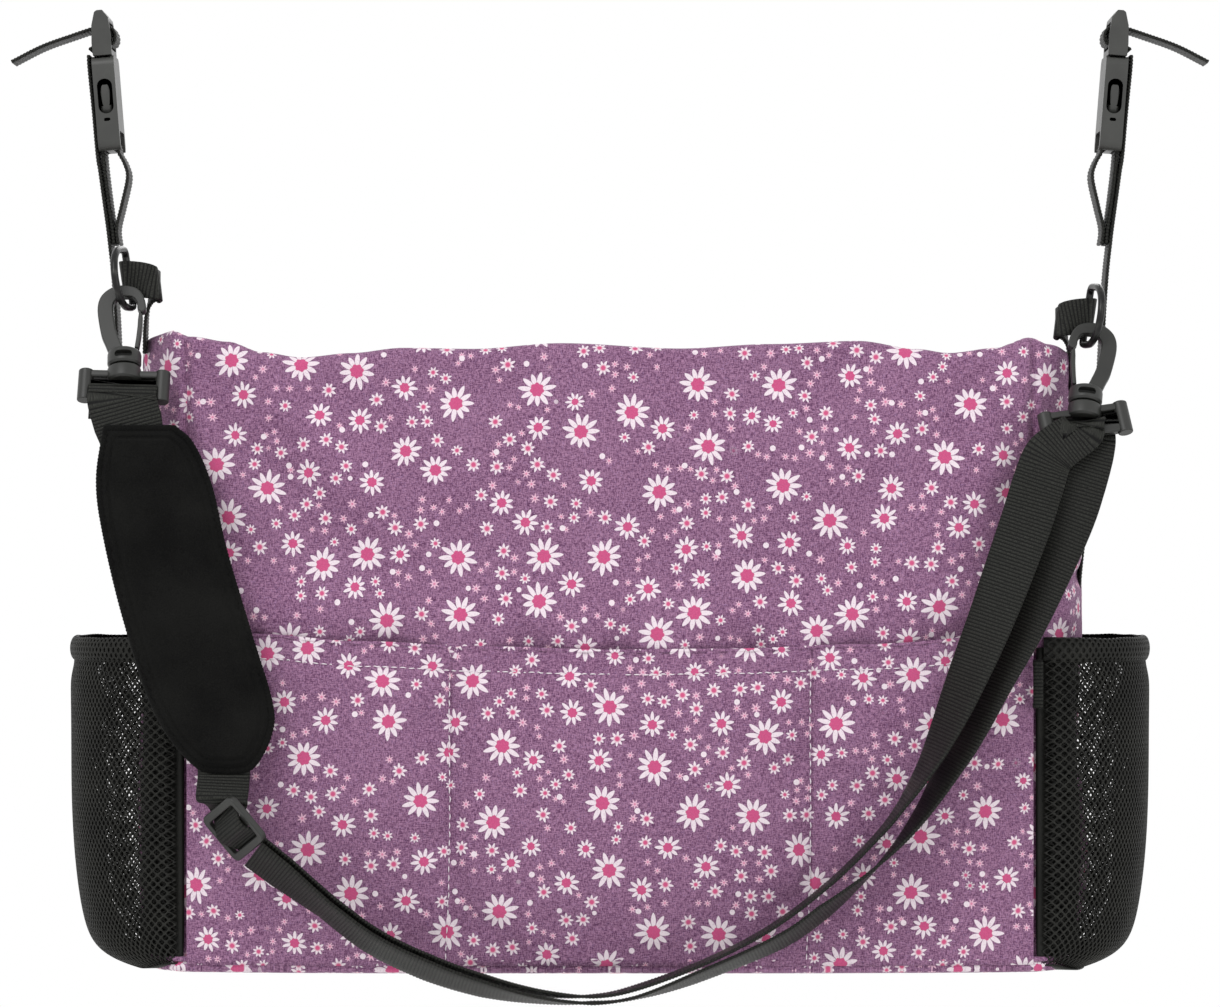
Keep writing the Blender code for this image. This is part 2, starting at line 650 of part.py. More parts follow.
# The pad's outline in its own plane: across, and down from the level of its top edge, in millimetres
PAD_OUTLINE = ((-240.5, 0), (-243.6, -24.5), (-240.5, -49.5), (-230.4, -91), (-215.5, -135), (-197, -159.5),
               (-182, -163.2), (-171, -160.5), (-162.9, -145), (-163, -130), (-172.8, -98), (-184.8, -58),
               (-192, -27.5), (-200.5, -8), (-208.8, 0))
PAD_TOP = Vector((0, -71.5 * MM, -127 * MM))
PAD_LEAN = 0.055
PAD_CENTRE = ((-227.8, 9, 0), (-226, 0, 0), (-219, -25, 0), (-213, -50, 0), (-202, -91, 0),
              (-189, -135, 0), (-185.5, -151, 0), (-184, -163.5, 0.6))

# The shoulder strap's front strand from the slider to the right plate: its centre, the direction of its
# width there, and how far to the side the rear strand runs
GLIDE_CENTRE = Vector((-177, -88, -312)) * MM
STRAND = (
    ((-165, -88, -321), (0.42, -0.87, 0.25), 0),
    ((-142, -87, -343), (0.40, -0.90, 0.20), 0),
    ((-106, -86, -368), (0.15, -0.98, 0.05), 0),
    ((-66, -86, -388), (0.08, -0.99, 0.08), 0),
    ((-14, -86, -397), (0.0, -1.0, 0.1), 0),
    ((38, -86, -386), (-0.05, -1.0, 0.15), 0),
    ((84, -86, -365), (0.0, -0.97, 0.2), 0),
    ((122, -86, -336), (0.3, -0.93, 0.1), 1),
    ((150, -85, -300), (0.6, -0.8, -0.1), 3),
    ((172, -84, -262), (0.85, -0.5, -0.2), 6),
    ((190, -82, -218), (0.93, -0.3, -0.2), 8),
    ((205, -80, -172), (0.96, -0.15, -0.2), 9),
    ((212, -78, -148), (0.97, -0.05, -0.15), 6),
)


def pad_place(depth):
    """The pad's plane, at a depth in front of its webbing: x across, y up the pad, z to the front."""
    up = Vector((0, math.sin(PAD_LEAN), math.cos(PAD_LEAN)))
    front = Vector((0, -math.cos(PAD_LEAN), math.sin(PAD_LEAN)))
    place = Matrix.Identity(4)
    for column, axis in enumerate((Vector((1, 0, 0)), up, front)):
        for row in range(3):
            place[row][column] = axis[row]
    place.translation = PAD_TOP + front * depth
    return place


def shrunk(outline, amount):
    """A closed outline moved in by an amount towards its own middle line."""
    out = []
    count = len(outline)
    for k in range(count):
        before, after = Vector(outline[k - 1]), Vector(outline[(k + 1) % count])
        along_edge = (after - before).normalized()
        out.append((outline[k][0] - along_edge.y * amount, outline[k][1] + along_edge.x * amount))
    return out


def shoulder_pad():
    """A cover, a foam core and a backing; the webbing runs between the core and the backing."""
    closed = [Vector((x, y, 0)) * MM for x, y in PAD_OUTLINE + PAD_OUTLINE[:1]]
    outline = [(p.x, p.y) for p in curve_through(closed, 2)[:-1]]
    outline = [p for k, p in enumerate(outline) if k < len(outline) - 1 or p != outline[0]]
    for name, depth, thick, mat, inset in (
        ("pad_backing", -2.0, 1.4, "pad_cloth", 0.0),
        ("pad_foam", 3.4, 3.6, "foam", 4.0),
        ("pad_cover", 6.3, 1.4, "pad_cloth", 0.0),
    ):
        shape = shrunk(outline, inset * MM) if inset else outline
        extrude_outline(name, shape, thick * MM, pad_place(depth * MM), mat, PAD_TOP)


def turn_round_bar(side, frame, tail):
    """Points and widths of webbing going up in front of a plate's lower bar, over it and down behind."""
    place = plate_frame(side, frame)
    front = [(-12, 4.2), (-8.5, 3.9), (-5.6, 3.9), (-3.6, 2.9), (-3.0, 0)]
    points = front + [(y, -z) for y, z in reversed(front[:-1])] + [(-tail, -4.6)]
    path = [place @ Vector((0, y * MM, z * MM)) for y, z in points]
    return path, place.to_3x3() @ Vector((1, 0, 0))


def turning(keys, steps):
    """The width directions along a curve, easing from each point's key to the next."""
    out = []
    for low, high in zip(keys, keys[1:]):
        out += [low.lerp(high, k / steps) for k in range(steps)]
    return [*out, keys[-1]]


def left_webbing(frame):
    """From a short sewn end behind the left plate, over its bar, down through the pad to the slider."""
    turn, bar = turn_round_bar(SIDES["left"], frame, 18)
    turn.reverse()
    place = pad_place(0)
    across, travel, _ = glide_axes()
    points = turn + [place @ (Vector(p) * MM) for p in PAD_CENTRE]
    points.append(GLIDE_CENTRE - travel * 18 * MM)
    keys = [bar] * len(turn) + [Vector((1, 0, 0))] * len(PAD_CENTRE) + [across]
    ribbon("shoulder_webbing_left", curve_through(points, 5), turning(keys, 5))


def glide_axes():
    """The slider's own directions: along its bars, along the webbing, and through its thickness."""
    travel = Vector((0.55, 0, -0.83)).normalized()
    across = Vector(STRAND[0][1])
    across = (across - across.dot(travel) * travel).normalized()
    return across, travel, across.cross(travel)


def tri_glide():
    """The strap's slider: a flat frame with three bars."""
    place = Matrix.Identity(4)
    for column, axis in enumerate(glide_axes()):
        for row in range(3):
            place[row][column] = axis[row]
    place.translation = GLIDE_CENTRE
    outline = rounded_box(33 * MM, 27 * MM, 4 * MM)
    glide = extrude_outline("tri_glide", outline, 3.2 * MM, place, "plastic", GLIDE_CENTRE)
    for index, y in enumerate((-6.2 * MM, 6.2 * MM)):
        slot = extrude_outline(f"glide_slot_{index}", rounded_box(26.5 * MM, 6.4 * MM, 1 * MM, 1), 10 * MM,
                               place @ Matrix.Translation((0, y, 0)), "plastic", smooth=False)
        cut(glide, slot)


def right_webbing(frame):
    """The adjusting loop: slider to right plate, over its bar and back behind to the slider."""
    turn, bar = turn_round_bar(SIDES["right"], frame, 15)
    front = [Vector(c) * MM for c, _, _ in STRAND]
    widths = [Vector(a).normalized() for _, a, _ in STRAND]
    rear = []
    for k, (c, t, a) in enumerate(zip(front, tangents(front), widths)):
        normal = t.cross(a).normalized()
        shift = STRAND[k][2]
        rear.append(c + normal * (3.4 + 0.5 * shift) * MM + Vector((1.6 * shift, 0, 0)) * MM)
    points = front + turn[:-1] + rear[::-1]
    keys = widths + [bar] * (len(turn) - 1) + widths[::-1]
    ribbon("shoulder_webbing_loop", curve_through(points, 2), turning(keys, 2))


def main():
    clear_scene()
    bag_shell()
    top_closure()
    zip_pull()
    front_pocket()
    for name, side in SIDES.items():
        mesh_pocket(name, side["sign"])
        pocket_tab(name, side["sign"])
        side_loop(name, side, d_ring(name, side))
        stroller_strap(name, side)
        buckle(name, side)
        strap_tail(name, side)
    shoulder_pad()
    left_webbing(snap_hook("left", SIDES["left"]))
    tri_glide()
    right_webbing(snap_hook("right", SIDES["right"]))


main()
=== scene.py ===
"""The looks of the diaper bag: printed cloth, air mesh, ribbed webbing, a padded strap and hardware."""

import math

import bmesh
import bpy
import numpy as np
from mathutils import Matrix, Vector, noise


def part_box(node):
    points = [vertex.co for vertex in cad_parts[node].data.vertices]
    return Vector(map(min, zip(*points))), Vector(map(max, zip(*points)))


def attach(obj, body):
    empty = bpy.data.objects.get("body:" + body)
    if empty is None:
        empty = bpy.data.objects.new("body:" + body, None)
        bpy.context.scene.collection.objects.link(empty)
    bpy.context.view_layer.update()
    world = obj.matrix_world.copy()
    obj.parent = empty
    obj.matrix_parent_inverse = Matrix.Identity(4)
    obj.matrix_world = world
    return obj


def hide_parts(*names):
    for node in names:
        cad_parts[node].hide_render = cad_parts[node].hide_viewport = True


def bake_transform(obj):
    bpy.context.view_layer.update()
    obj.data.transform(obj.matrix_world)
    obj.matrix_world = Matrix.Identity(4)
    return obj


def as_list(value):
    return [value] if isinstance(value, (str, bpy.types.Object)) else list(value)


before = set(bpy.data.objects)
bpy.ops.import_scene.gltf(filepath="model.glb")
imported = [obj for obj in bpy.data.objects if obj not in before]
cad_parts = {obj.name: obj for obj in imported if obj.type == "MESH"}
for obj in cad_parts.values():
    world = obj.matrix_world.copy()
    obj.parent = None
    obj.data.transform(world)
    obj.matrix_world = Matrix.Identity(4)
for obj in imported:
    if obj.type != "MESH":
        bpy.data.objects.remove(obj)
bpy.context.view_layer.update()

MM = 0.001
LOW_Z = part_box("base_panel")[0][2]
BASE_TOP_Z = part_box("base_panel")[1][2]
SEAM_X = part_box("front_panel")[1][0]
FRONT_Y = -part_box("front_panel")[0][1]
GUSSET_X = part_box("right_gusset")[1][0]
SEAM_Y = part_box("right_gusset")[1][1]
POCKET_Y = -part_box("front_pocket_panel")[0][1]
POCKET_STITCHES = (-76 * MM, 97 * MM)
MESH_TOP_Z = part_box("left_mesh_pocket")[1][2]
MESH_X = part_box("right_mesh_pocket")[1][0]
MESH_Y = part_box("right_mesh_pocket")[1][1]
ZIP_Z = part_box("zip_coil")[1][2] + 0.2 * MM
ZIP_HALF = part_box("zip_coil")[1][0]
EDGE_ROLL = 4.5 * MM
WEB = 25 * MM
WEB_THICK = 1.6 * MM
RIB = 1.7 * MM
RIB_RISE = 0.34 * MM
YARN = 0.42 * MM
WALL_TOP_Z = -89 * MM
COMPARTMENTS = (-SEAM_X, *POCKET_STITCHES, SEAM_X)

# Height of the bag's soft top edge from left to right, in millimetres
TOP_EDGE = ((-228, -82), (-215, -79), (-202, -82), (-184, -84.5), (-168, -89.5), (-149, -92), (-125, -90),
            (-100, -87.5), (-66, -88), (-24, -85.2), (34, -87.8), (77, -85.6), (120, -84), (148, -88),
            (163, -90), (186, -87.5), (202, -82.5), (215, -85.5), (228, -90))
POCKET_EDGE = ((-204, -221), (-170, -226), (-120, -229.5), (-60, -232), (0, -233.5), (60, -233), (120, -231),
               (204, -226))


# ---------------------------------------------------------------- numbers and curves


def spaced(low, high, count):
    return [low + (high - low) * k / count for k in range(count + 1)]


def curve_through(points, per_span=4):
    """A smooth curve through the given points, by Catmull-Rom spans."""
    pts = [Vector(p) for p in points]
    padded = [2 * pts[0] - pts[1], *pts, 2 * pts[-1] - pts[-2]]
    out = []
    for i in range(len(pts) - 1):
        a, b, c, d = padded[i : i + 4]
        for k in range(per_span):
            t = k / per_span
            slope, bend, twist = c - a, 2 * a - 5 * b + 4 * c - d, 3 * b - 3 * c + d - a
            out.append(0.5 * (2 * b + slope * t + bend * t * t + twist * t**3))
    out.append(pts[-1])
    return out


def height_at(x, table):
    """The height, in metres, of a soft edge given as (x, z) pairs in millimetres, eased between them."""
    x /= MM
    for (x0, z0), (x1, z1) in zip(table, table[1:]):
        if x <= x1:
            t = min(1, max(0, (x - x0) / (x1 - x0)))
            return (z0 + (z1 - z0) * t * t * (3 - 2 * t)) * MM
    return table[-1][1] * MM


def bump(x, middle, spread):
    return math.exp(-(((x - middle) / spread) ** 2))


def soft_noise(x, y, z, scale):
    return noise.noise(Vector((x / scale, y / scale, z / scale)))


def resampled(path, widths, step):
    """The same path and width directions at even steps along its length: points, widths and distances."""
    lengths = [0.0]
    for a, b in zip(path, path[1:]):
        lengths.append(lengths[-1] + (b - a).length)
    count = max(2, round(lengths[-1] / step))
    points, acrosses, distances = [], [], []
    i = 0
    for k in range(count + 1):
        s = lengths[-1] * k / count
        while i < len(path) - 2 and lengths[i + 1] < s:
            i += 1
        t = (s - lengths[i]) / max(1e-9, lengths[i + 1] - lengths[i])
        points.append(path[i].lerp(path[i + 1], t))
        acrosses.append(widths[i].lerp(widths[i + 1], t))
        distances.append(s)
    return points, acrosses, distances


def turning(keys, per_span):
    """The width directions along a curve, easing from each point's key to the next."""
    out = []
    for low, high in zip(keys, keys[1:]):
        out += [low.lerp(high, k / per_span) for k in range(per_span)]
    return [*out, keys[-1]]


def flat_curve(points, per_span):
    """A smooth curve in the x-y plane through points given in millimetres."""
    return curve_through([Vector((x, y, 0)) * MM for x, y in points], per_span)


def tangents(points, closed=False):
    out = []
    last = len(points) - 1
    for i in range(len(points)):
        before = points[i - 1] if i or closed else points[0]
        after = points[(i + 1) % len(points)] if i < last or closed else points[last]
        out.append((after - before).normalized())
    return out


# ---------------------------------------------------------------- shader maths


class Num:
    """One number or vector in a shader tree, so that its maths reads as maths."""

    def __init__(self, graph, socket):
        self.graph, self.socket = graph, socket

    def __add__(self, other):
        return self.graph.math("ADD", self, other)

    def __sub__(self, other):
        return self.graph.math("SUBTRACT", self, other)

    def __rsub__(self, other):
        return self.graph.math("SUBTRACT", other, self)

    def __mul__(self, other):
        return self.graph.math("MULTIPLY", self, other)

    def __truediv__(self, other):
        return self.graph.math("DIVIDE", self, other)

    __radd__ = __add__
    __rmul__ = __mul__


class Graph:
    """A material's node tree with short calls that each add one node."""

    def __init__(self, name):
        self.material = bpy.data.materials.new(name)
        self.material.use_nodes = True
        self.tree = self.material.node_tree
        self.shader = self.tree.nodes["Principled BSDF"]

    def node(self, kind, inputs=(), **settings):
        made = self.tree.nodes.new(kind)
        for key, setting in settings.items():
            setattr(made, key, setting)
        for key, given in dict(inputs).items():
            self.feed(made.inputs[key], given)
        return made

    def feed(self, socket, given):
        if isinstance(given, Num):
            self.tree.links.new(given.socket, socket)
        else:
            socket.default_value = given

    def math(self, operation, *values, clamp=False):
        made = self.node("ShaderNodeMath", operation=operation, use_clamp=clamp)
        for socket, given in zip(made.inputs, values):
            self.feed(socket, given)
        return Num(self, made.outputs[0])

    def vector(self, operation, *values, out="Vector"):
        made = self.node("ShaderNodeVectorMath", operation=operation)
        for socket, given in zip(made.inputs, values):
            self.feed(socket, given)
        return Num(self, made.outputs[out])

    def scaled(self, vector, factor):
        made = self.node("ShaderNodeVectorMath", {0: vector}, operation="SCALE")
        made.inputs["Scale"].default_value = factor
        return Num(self, made.outputs["Vector"])

    def split(self, vector):
        made = self.node("ShaderNodeSeparateXYZ", {0: vector})
        return [Num(self, socket) for socket in made.outputs]

    def combine(self, x, y, z=0.0):
        return Num(self, self.node("ShaderNodeCombineXYZ", {0: x, 1: y, 2: z}).outputs[0])

    def step(self, value, low, high):
        """0 below low and 1 above high, easing between them."""
        made = self.node("ShaderNodeMapRange", {0: value, 1: low, 2: high}, interpolation_type="SMOOTHSTEP")
        return Num(self, made.outputs[0])

    def noise(self, vector, scale, detail=2.0):
        made = self.node("ShaderNodeTexNoise", {"Vector": vector, "Scale": scale, "Detail": detail})
        return Num(self, made.outputs[0])

    def white(self, vector):
        return Num(self, self.node("ShaderNodeTexWhiteNoise", {0: vector}).outputs["Value"])

    def cells(self, vector, randomness, feature="F1"):
        return self.node("ShaderNodeTexVoronoi", {"Vector": vector, "Scale": 1.0, "Randomness": randomness},
                         voronoi_dimensions="2D", feature=feature)

    def mix(self, share, a, b):
        made = self.node("ShaderNodeMix", data_type="RGBA")
        self.feed(made.inputs[0], share)
        self.feed(made.inputs[6], a)
        self.feed(made.inputs[7], b)
        return Num(self, made.outputs[2])

    def place(self):
        return Num(self, self.node("ShaderNodeTexCoord").outputs["Object"])

    def cloth_place(self):
        """Metres along and up the cloth, from the mesh's own UV map."""
        return Num(self, self.node("ShaderNodeUVMap", uv_map="cloth").outputs[0])

    def finish(self, colour, roughness, height=None, depth=0.0002, strength=1.0, **sockets):
        self.feed(self.shader.inputs["Base Color"], colour)
        self.feed(self.shader.inputs["Roughness"], roughness)
        if height is not None:
            made = self.node("ShaderNodeBump", {"Height": height, "Distance": depth, "Strength": strength})
            self.tree.links.new(made.outputs[0], self.shader.inputs["Normal"])
        for key, setting in sockets.items():
            self.shader.inputs[key.replace("_", " ")].default_value = setting
        return self.material


def rgb(r, g, b):
    """A colour given as it looks on a screen, 0 to 255, as the shader's linear values."""
    return (*((c / 255) ** 2.2 for c in (r, g, b)), 1.0)


# ---------------------------------------------------------------- materials


# How far each flower strays from the middle of its cell, from 0 to 1
SCATTER = 0.8


class Flowers:
    """One size of printed flower, scattered one to a cell and kept clear of its neighbours."""

    def __init__(self, g, place, cell, radius, shift, others=(), least=0.7, margin=0.5 * MM):
        self.g, self.cell, self.radius, self.shift = g, cell, radius, shift
        near = g.cells(g.scaled(g.vector("ADD", place, shift), 1 / cell), SCATTER)
        centre = Num(g, near.outputs["Position"])
        self.random = g.split(Num(g, near.outputs["Color"]))
        room = Num(g, g.cells(centre, SCATTER, "F2").outputs["Distance"]) * (0.48 * cell)
        here = g.vector("SUBTRACT", g.scaled(centre, cell), shift)
        for other in others:
            room = g.math("MINIMUM", room, other.distance_from(here) - (other.radius + margin))
        size = g.math("MINIMUM", room, radius)
        self.shown = g.step(size, least * radius - 0.05 * MM, least * radius)
        offset = g.vector("SUBTRACT", place, here)
        x, y, _ = g.split(offset)
        self.angle = g.math("ARCTAN2", y, x) + self.random[0] * (2 * math.pi)
        self.away = g.vector("LENGTH", offset, out="Value") / g.math("MAXIMUM", size, 0.1 * MM)

    def distance_from(self, place):
        g = self.g
        spot = g.scaled(g.vector("ADD", place, self.shift), 1 / self.cell)
        return Num(g, g.cells(spot, SCATTER).outputs["Distance"]) * self.cell

    def petals(self, count, width, start=0.25, sharp=0.6):
        """How much of this point a ring of pointed petals covers, each petal of its own length."""
        g = self.g
        turn = self.angle * (count / (2 * math.pi))
        whole = g.math("FLOOR", turn)
        index = g.math("FLOORED_MODULO", whole, float(count))
        own = g.white(g.combine(index, self.random[1] * 37.0, self.random[2] * 11.0))
        along = (self.away - start) / (0.80 - start + own * 0.2)
        inside = g.math("MULTIPLY", along, 1.0, clamp=True)
        profile = g.math("POWER", inside, 0.5) * g.math("POWER", 1.0 - inside, sharp) * (1.9 * width)
        side = g.math("ABSOLUTE", turn - whole - 0.5) * self.away * (2 * math.pi / count)
        return g.step(profile - side, 0.0, 0.025) * self.shown

    def disc(self, radius, ragged=0.02):
        wobble = self.g.math("SINE", self.angle * 7.0) * ragged
        return (1.0 - self.g.step(self.away + wobble, radius - 0.02, radius + 0.03)) * self.shown


def printed_cloth(name, mapped):
    """Heathered mauve cloth, woven of light and dark yarns, printed with daisies and dots."""
    g = Graph(name)
    if mapped:
        place = g.cloth_place()
    else:
        along, deep, up = g.split(g.place())
        place = g.combine(along + deep * 0.3, up + deep * 0.95)
    x, y, _ = g.split(place)
    grain = g.white(g.combine(g.math("FLOOR", x / YARN), g.math("FLOOR", y / YARN)))
    warp = g.noise(g.combine(x * 2200.0, y * 420.0), 1.0, 1.0)
    weft = g.noise(g.combine(x * 420.0, y * 2200.0, 5.0), 1.0, 1.0)
    cloud = g.noise(place, 28.0, 3.0)
    heather = grain * 0.3 + g.step(warp, 0.3, 0.7) * 0.3 + g.step(weft, 0.3, 0.7) * 0.3 + cloud * 0.15
    colour = g.mix(g.step(heather, 0.18, 0.88), rgb(88, 54, 84), rgb(160, 120, 150))
    colour = g.mix(g.step(grain, 0.93, 0.96) * 0.3, colour, rgb(116, 104, 152))

    petal, blush, rose = rgb(222, 208, 216), rgb(214, 172, 192), rgb(194, 84, 124)
    large = Flowers(g, place, 40 * MM, 9.6 * MM, (0.0, 0.0, 0.0), least=0.72)
    medium = Flowers(g, place, 26 * MM, 6.8 * MM, (3.1, 1.7, 0.0), (large,))
    small = Flowers(g, place, 12 * MM, 4.1 * MM, (5.3, 4.1, 0.0), (large, medium), 0.66, 0.0)
    tiny = Flowers(g, place, 6.2 * MM, 2.9 * MM, (7.9, 2.3, 0.0), (large, medium, small), 0.66, -0.4 * MM)
    dots = Flowers(g, place, 15 * MM, 1.5 * MM, (9.7, 6.1, 0.0), (large, medium, small), 0.8, 0.2 * MM)

    mottle = g.mix(g.noise(place, 1500.0, 2.0), rgb(172, 62, 106), rgb(204, 96, 138))
    for layer, count, width in ((large, 11, 0.15), (medium, 10, 0.155)):
        colour = g.mix(layer.petals(count, width), colour, petal)
        colour = g.mix(layer.disc(0.33, 0.03), colour, mottle)
    tint = g.mix(g.step(small.away, 0.15, 0.5), rose, petal)
    colour = g.mix(small.petals(8, 0.19, 0.05), colour, tint)
    colour = g.mix(small.disc(0.22, 0.05), colour, rose)
    colour = g.mix(tiny.petals(7, 0.2, 0.02, 0.8), colour, blush)
    colour = g.mix(tiny.disc(0.2) * 0.6, colour, rose)
    colour = g.mix(dots.disc(0.92, 0.02), colour, petal)
    worn = g.step(grain, 0.86, 0.9) * 0.2
    colour = g.mix(worn, colour, rgb(134, 94, 124))

    threads = g.math("SINE", x * (math.pi / YARN)) * g.math("SINE", y * (math.pi / YARN))
    height = threads * 0.5 + grain * 0.5
    return g.finish(colour, 0.88, height, 0.00012, 0.55, Sheen_Weight=0.08, Sheen_Roughness=0.5,
                    Specular_IOR_Level=0.15)


def air_mesh(name, tone):
    """Black knitted polyester with a slight sheen along its yarns."""
    g = Graph(name)
    place = g.place()
    yarn = g.noise(place, 2600.0, 2.0)
    cloud = g.noise(place, 60.0, 2.0)
    colour = g.mix(g.step(yarn * 0.7 + cloud * 0.3, 0.3, 0.75), rgb(tone - 14, tone - 14, tone - 16),
                   rgb(tone + 16, tone + 16, tone + 12))
    return g.finish(colour, 0.6, yarn, 0.0002, 0.5, Sheen_Weight=0.02, Sheen_Roughness=0.4,
                    Specular_IOR_Level=0.25)


def webbing():
    """Black polypropylene webbing: the ribs are in the mesh, fine yarns run across each rib, and painted shade
    darkens the grooves between the ribs.
    """
    g = Graph("webbing")
    s, t, _ = g.split(g.cloth_place())
    yarn = g.math("SINE", t * (2 * math.pi / (0.7 * MM)) + g.math("SINE", s * (2 * math.pi / RIB)) * 1.2)
    fleck = g.noise(g.combine(s * 900.0, t * 3000.0), 1.0, 2.0)
    colour = g.mix(g.step(fleck, 0.3, 0.75), rgb(20, 20, 18), rgb(54, 55, 51))
    # Painted shade: the colour goes near black in the grooves between the ribs, where the webbing is thinnest
    rib = g.math("ABSOLUTE", g.math("SINE", s * (math.pi / RIB)))
    colour = g.mix(g.step(rib, 0.2, 0.8), rgb(4, 4, 4), colour)
    return g.finish(colour, 0.5, yarn * 0.5 + fleck * 0.5, 0.0001, 0.5, Sheen_Weight=0.02,
                    Sheen_Roughness=0.35, Specular_IOR_Level=0.16)


def pad_suede():
    """Black brushed knit with a faint nap."""
    g = Graph("pad_suede")
    place = g.place()
    nap = g.noise(place, 1800.0, 4.0)
    cloud = g.noise(place, 35.0, 3.0)
    colour = g.mix(g.step(nap * 0.5 + cloud * 0.5, 0.3, 0.7), rgb(15, 15, 15), rgb(29, 29, 28))
    return g.finish(colour, 0.9, nap, 0.00015, 0.6, Sheen_Weight=0.02, Sheen_Roughness=0.5,
                    Specular_IOR_Level=0.08)


def moulded(name, tone, roughness, grain=1400.0):
    """Dark moulded plastic with a fine spark-eroded texture."""
    g = Graph(name)
    place = g.place()
    speck = g.noise(place, grain, 3.0)
    cloud = g.noise(place, 90.0, 3.0)
    colour = g.mix(cloud, rgb(tone - 8, tone - 8, tone - 9), rgb(tone + 8, tone + 9, tone + 6))
    rough = g.node("ShaderNodeMapRange", {0: cloud, 3: roughness - 0.06, 4: roughness + 0.08})
    return g.finish(colour, Num(g, rough.outputs[0]), speck, 0.00006, 0.5, Specular_IOR_Level=0.5)


def thread():
    g = Graph("white_thread")
    twist = g.noise(g.place(), 4200.0, 1.0)
    return g.finish(g.mix(twist, rgb(205, 190, 200), rgb(244, 238, 242)), 0.7, twist, 0.0001, 0.5)


def dark_metal(name, tone, roughness):
    g = Graph(name)
    wear = g.noise(g.place(), 220.0, 4.0)
    colour = g.mix(g.step(wear, 0.45, 0.75), rgb(tone, tone, tone), rgb(tone + 26, tone + 26, tone + 24))
    return g.finish(colour, roughness, wear, 0.00005, 0.3, Metallic=0.6, Specular_IOR_Level=0.5)


PRINT = printed_cloth("printed_cloth", True)
PRINT_PLAIN = printed_cloth("printed_trim", False)
MESH_FACE = air_mesh("air_mesh_face", 27)
MESH_BACK = air_mesh("air_mesh_back", 20)
WEBBING = webbing()
SUEDE = pad_suede()
PLASTIC = moulded("moulded_plastic", 36, 0.42)
BUCKLE = moulded("buckle_plastic", 54, 0.38)
THREAD = thread()
TAPE = air_mesh("zip_tape", 52)
RING = dark_metal("ring_black", 34, 0.3)
ZIP_METAL = dark_metal("zip_metal", 44, 0.35)


# ---------------------------------------------------------------- mesh helpers


def mesh_piece(name, verts, faces, mat, uvs=None, smooth=True):
    """A piece from corners and faces; uvs gives each corner's place on the flat cloth, in metres."""
    mesh = bpy.data.meshes.new(name)
    mesh.from_pydata([tuple(v) for v in verts], [], faces)
    if uvs is not None:
        layer = mesh.uv_layers.new(name="cloth")
        corner = np.empty(len(mesh.loops), np.int32)
        mesh.loops.foreach_get("vertex_index", corner)
        layer.data.foreach_set("uv", np.asarray(uvs, np.float32)[corner].ravel())
    mesh.materials.append(mat)
    if smooth:
        mesh.shade_smooth()
    obj = bpy.data.objects.new(name, mesh)
    bpy.context.scene.collection.objects.link(obj)
    return obj


def grid_faces(rows, cols, closed=False):
    faces = []
    for j in range(rows - 1):
        for i in range(cols if closed else cols - 1):
            m = (i + 1) % cols
            faces.append((j * cols + i, j * cols + m, (j + 1) * cols + m, (j + 1) * cols + i))
    return faces


def thicken(obj, thick, offset=-1.0):
    solid = obj.modifiers.new("thickness", "SOLIDIFY")
    solid.thickness = thick
    solid.offset = offset
    return obj


def applied(obj):
    """Applies the piece's modifiers to its mesh."""
    graph = bpy.context.evaluated_depsgraph_get()
    mesh = bpy.data.meshes.new_from_object(obj.evaluated_get(graph), depsgraph=graph)
    obj.modifiers.clear()
    obj.data = mesh
    return obj


def facing_out(obj):
    bm = bmesh.new()
    bm.from_mesh(obj.data)
    bmesh.ops.recalc_face_normals(bm, faces=bm.faces)
    bm.to_mesh(obj.data)
    bm.free()
    return obj


def simulate(obj, pins, pressure, frames=14, grow=0.012, cap=4 * MM):
    """Blows the piece out as cloth held at its pinned points, and keeps the shape it takes.

    pins is one weight from 0 to 1 for each point; no point moves further than cap.
    """
    start = np.empty(len(obj.data.vertices) * 3)
    obj.data.vertices.foreach_get("co", start)
    start = start.reshape(-1, 3)
    group = obj.vertex_groups.new(name="held")
    for index, weight in enumerate(pins):
        if weight > 0:
            group.add([index], min(1.0, weight), "REPLACE")
    cloth = obj.modifiers.new("cloth", "CLOTH")
    settings = cloth.settings
    settings.quality = 4
    settings.vertex_group_mass = "held"
    settings.use_pressure = True
    settings.uniform_pressure_force = pressure
    settings.shrink_min = -grow
    settings.bending_stiffness = 0.6
    settings.tension_stiffness = 12
    settings.compression_stiffness = 12
    settings.effector_weights.gravity = 0.0
    cloth.collision_settings.use_collision = False
    scene = bpy.context.scene
    for step in range(1, frames + 1):
        scene.frame_set(step)
    applied(obj)
    scene.frame_set(1)
    obj.vertex_groups.clear()
    end = np.empty(len(obj.data.vertices) * 3)
    obj.data.vertices.foreach_get("co", end)
    move = end.reshape(-1, 3) - start
    length = np.maximum(np.linalg.norm(move, axis=1, keepdims=True), 1e-9)
    move *= np.minimum(1.0, cap / length)
    obj.data.vertices.foreach_set("co", (start + move).ravel())
    obj.data.update()
    return obj


